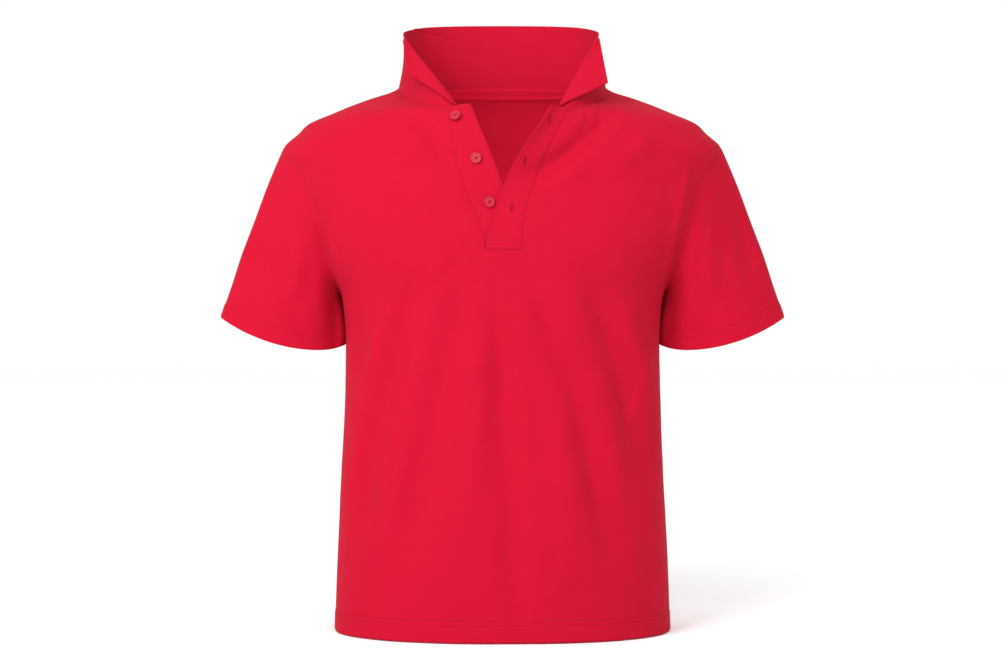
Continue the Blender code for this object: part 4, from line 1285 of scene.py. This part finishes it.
def thread_finish(name, dark, light):
    """Sewing thread: smoother than the cloth, with a faint twist."""
    thread = Finish(name, Roughness=0.7, Specular_IOR_Level=0.12)
    fuzz = thread.speckle(3200.0)
    thread.feed("Base Color", thread.shades(fuzz, dark, light))
    thread.relief(fuzz, 0.00008, 0.6)
    return thread.material


def button_finish(name, dark, light):
    """Pressed resin: glossy, with faint clouds and fine wear."""
    resin = Finish(name, Roughness=0.34, Specular_IOR_Level=0.3, Coat_Weight=0.1,
                   Coat_Roughness=0.18)
    clouds = resin.speckle(420.0, detail=4.0)
    resin.feed("Base Color", resin.shades(clouds, dark, light))
    resin.feed("Roughness", clouds * 0.12 + 0.28)
    resin.relief(clouds, 0.00003, 0.3)
    return resin.material


def floor_finish(name):
    """Matte pale paper, with painted shade near the shirt that fades to the paper's own colour
    away from it.
    """
    paper = Finish(name, Roughness=0.95, Specular_IOR_Level=0.05)
    place = paper.node("ShaderNodeTexCoord", {}, {}, output="Object")
    from_shirt = paper.node("ShaderNodeVectorMath", {"operation": "DISTANCE"},
                            {0: place, 1: (0.0, -FLOOR_BACK, 0.0)}, output="Value")
    far = paper.node("ShaderNodeMapRange", {"interpolation_type": "SMOOTHSTEP"},
                     {"Value": from_shirt, "From Min": PAINTED_SHADE_NEAR, "From Max": PAINTED_SHADE_FAR})
    grain = paper.speckle(180.0) * 0.03
    # Painted shade: the paper is darker near the shirt; the grain is its own uneven tone
    paper.feed("Base Color", paper.shades(far * 0.97 + grain, PAPER_PAINTED_SHADE, PAPER_LIGHT))
    return paper.material


def dress(piece, material, slot, *nodes):
    """Give a piece its finish, hang it from the root and hide the nodes that it stands for; slot
    is not used.
    """
    piece.data.materials.clear()
    piece.data.materials.append(material)
    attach(piece, "root")
    if nodes:
        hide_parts(*nodes)


def soft_light(name, place, aim, size, power):
    """A square studio light that looks at a point."""
    data = bpy.data.lights.new(name, "AREA")
    data.size = size
    data.energy = power
    lamp = bpy.data.objects.new(name, data)
    lamp.location = place
    lamp.rotation_euler = (Vector(aim) - Vector(place)).to_track_quat("-Z", "Y").to_euler()
    bpy.context.scene.collection.objects.link(lamp)


# Finishes
pique = pique_finish("red_pique_knit", *PIQUE_REDS)
# The neck tape: pique painted lighter, as painted light in the shade under the collar.
tape_painted_light = pique_finish("red_tape_painted_light", *TAPE_PAINTED_LIGHT_REDS)
rib = rib_finish("red_flat_knit", *RIB_REDS)
thread = thread_finish("red_thread", *THREAD_REDS)
resin = button_finish("red_resin", *RESIN_REDS)

# Cloth
front_points, front_slot, front_neck = front_grid()
front = cloth_sheet("front_cloth", front_points, WALL, hem_shares(front_points, HEM_HEIGHT),
                    slot=front_slot)
dress(front, pique, "red_pique", "front_panel")

back_points, back_neck = back_grid()
back = cloth_sheet("back_cloth", back_points, WALL, hem_shares(back_points, HEM_HEIGHT))
dress(back, pique, "red_pique", "back_panel")

sleeves, sleeve_points = {}, {}
for side, word in SIDES:
    points = sleeve_grid(side)
    sleeve = cloth_sheet(f"sleeve_{word}_cloth", points, WALL,
                         hem_shares(points, SLEEVE_HEM_HEIGHT), closed=True)
    dress(sleeve, pique, "red_pique", f"sleeve_{word}")
    sleeves[side], sleeve_points[side] = sleeve, points

collar_points = collar_grid()
collar = cloth_sheet("collar_cloth", collar_points, COLLAR_WALL)
dress(collar, rib, "red_rib", "collar")

under_points, over_points = placket_grid(-1), placket_grid(1)
under = cloth_sheet("placket_under_cloth", under_points, BAND_WALL)
dress(under, pique, "red_pique", "placket_under")
over = cloth_sheet("placket_over_cloth", over_points, BAND_WALL)
dress(over, pique, "red_pique", "placket_over")

tape_points = tape_grid()
tape = cloth_sheet("neck_tape_cloth", tape_points, TAPE_WALL)
dress(tape, tape_painted_light, "red_pique", "neck_tape")

# Sewing
last_seam, neck_end = front_slot[1], front_points.shape[1] - front_neck
neck_rows = [edge_line(front_points, NECK_ROW, "top", front_neck, front_slot[0] + 1),
             edge_line(front_points, NECK_ROW, "top", last_seam, neck_end)]
front_sewing = sewing("front_sewing", hem_rows(front_points, HEM_HEIGHT) + neck_rows)

back_end = back_points.shape[1] - back_neck
back_rows = [edge_line(back_points, SHOULDER_ROW, "top", 0, back_neck + 1),
             edge_line(back_points, SHOULDER_ROW, "top", back_end - 1, None),
             edge_line(back_points, BACK_NECK_ROW, "top", back_neck, back_end)]
back_sewing = sewing("back_sewing", hem_rows(back_points, HEM_HEIGHT) + back_rows)

for side, word in SIDES:
    rows = hem_rows(sleeve_points[side], SLEEVE_HEM_HEIGHT, closed=True)
    sewing(f"sleeve_{word}_sewing", rows)

under_sewing = sewing("placket_under_sewing", [
    edge_line(under_points, EDGE_ROW, "right"), edge_line(under_points, SEAM_ROW, "left")])

foot_ends = (BOX_MARGIN_COLUMNS, -BOX_MARGIN_COLUMNS)
over_rows = [edge_line(over_points, EDGE_ROW, "left"), edge_line(over_points, SEAM_ROW, "right"),
             edge_line(over_points, FOOT_ROW, "bottom", *foot_ends),
             edge_line(over_points, FOOT_ROW + BOX_HEIGHT, "bottom", *foot_ends)]
over_sewing = sewing("placket_over_sewing", over_rows)

hole_sides, hole_bars = [], []
for across, level, lean in BUTTONHOLES:
    sides, bars = buttonhole(over, over_points, across, level, lean)
    hole_sides += sides
    hole_bars += bars
hole_stitches = sewing("buttonhole_stitches", hole_sides, HOLE_STITCH, across=True)
bar_stitches = sewing("buttonhole_bars", hole_bars, BAR_STITCH, across=True)

inner_rows = []
for edge in ("bottom", "top"):
    line, out = edge_line(tape_points, TAPE_ROW, edge)
    inner_rows.append((line - out * (TAPE_WALL + TAPE_STITCH_LIFT), -out))
tape_sewing = sewing("neck_tape_sewing", inner_rows)

# Buttons
buttons = []
button_mould = model_button()
for number, (across, level, height, tilt) in enumerate(BUTTONS, start=1):
    seat = (button_seat(across, level) @ Matrix.Translation((0, 0, height))
            @ Matrix.Rotation(tilt, 4, "Y"))
    button = button_mould.copy()
    button.data = button_mould.data.copy()
    bpy.context.scene.collection.objects.link(button)
    button.name = button.data.name = f"button_{number}_resin"
    button.data.transform(seat)
    dress(button, resin, "red_button", f"button_{number}")
    out = np.array(seat.col[2][:3])[None].repeat(2, axis=0)
    ends = (-BUTTON_THREAD_HALF_LENGTH, BUTTON_THREAD_HALF_LENGTH)
    bars = [(in_seat(seat, [(x, y, BUTTON_THREAD_HEIGHT) for y in ends]), out)
            for x in (-BUTTON_THREAD_HALF_SPREAD, BUTTON_THREAD_HALF_SPREAD)]
    buttons += [button, sewing(f"button_{number}_thread", bars, BUTTON_STITCH)]
bpy.data.objects.remove(button_mould)

# Studio
clear_selection()
bpy.ops.mesh.primitive_plane_add(size=FLOOR_SIZE,
                                 location=(0, FLOOR_BACK, HEM_LEVEL - FLOOR_GAP))
floor = bpy.context.object
floor.name = "floor"
floor.data.materials.append(floor_finish("floor_paper"))

world = bpy.context.scene.world or bpy.data.worlds.new("studio")
bpy.context.scene.world = world
world.use_nodes = True
background = world.node_tree.nodes["Background"]
background.inputs["Color"].default_value = (1, 1, 1, 1)
background.inputs["Strength"].default_value = 1.0

for light in LIGHTS:
    soft_light(*light)

camera_data = bpy.data.cameras.new("camera")
camera_data.lens = CAMERA_LENS
camera_data.sensor_width = CAMERA_SENSOR_WIDTH
camera = bpy.data.objects.new("camera", camera_data)
camera.location = CAMERA_PLACE
camera.rotation_euler = (QUARTER_TURN, 0, 0)
bpy.context.scene.collection.objects.link(camera)
bpy.context.scene.camera = camera
bpy.context.scene.view_settings.view_transform = "Standard"
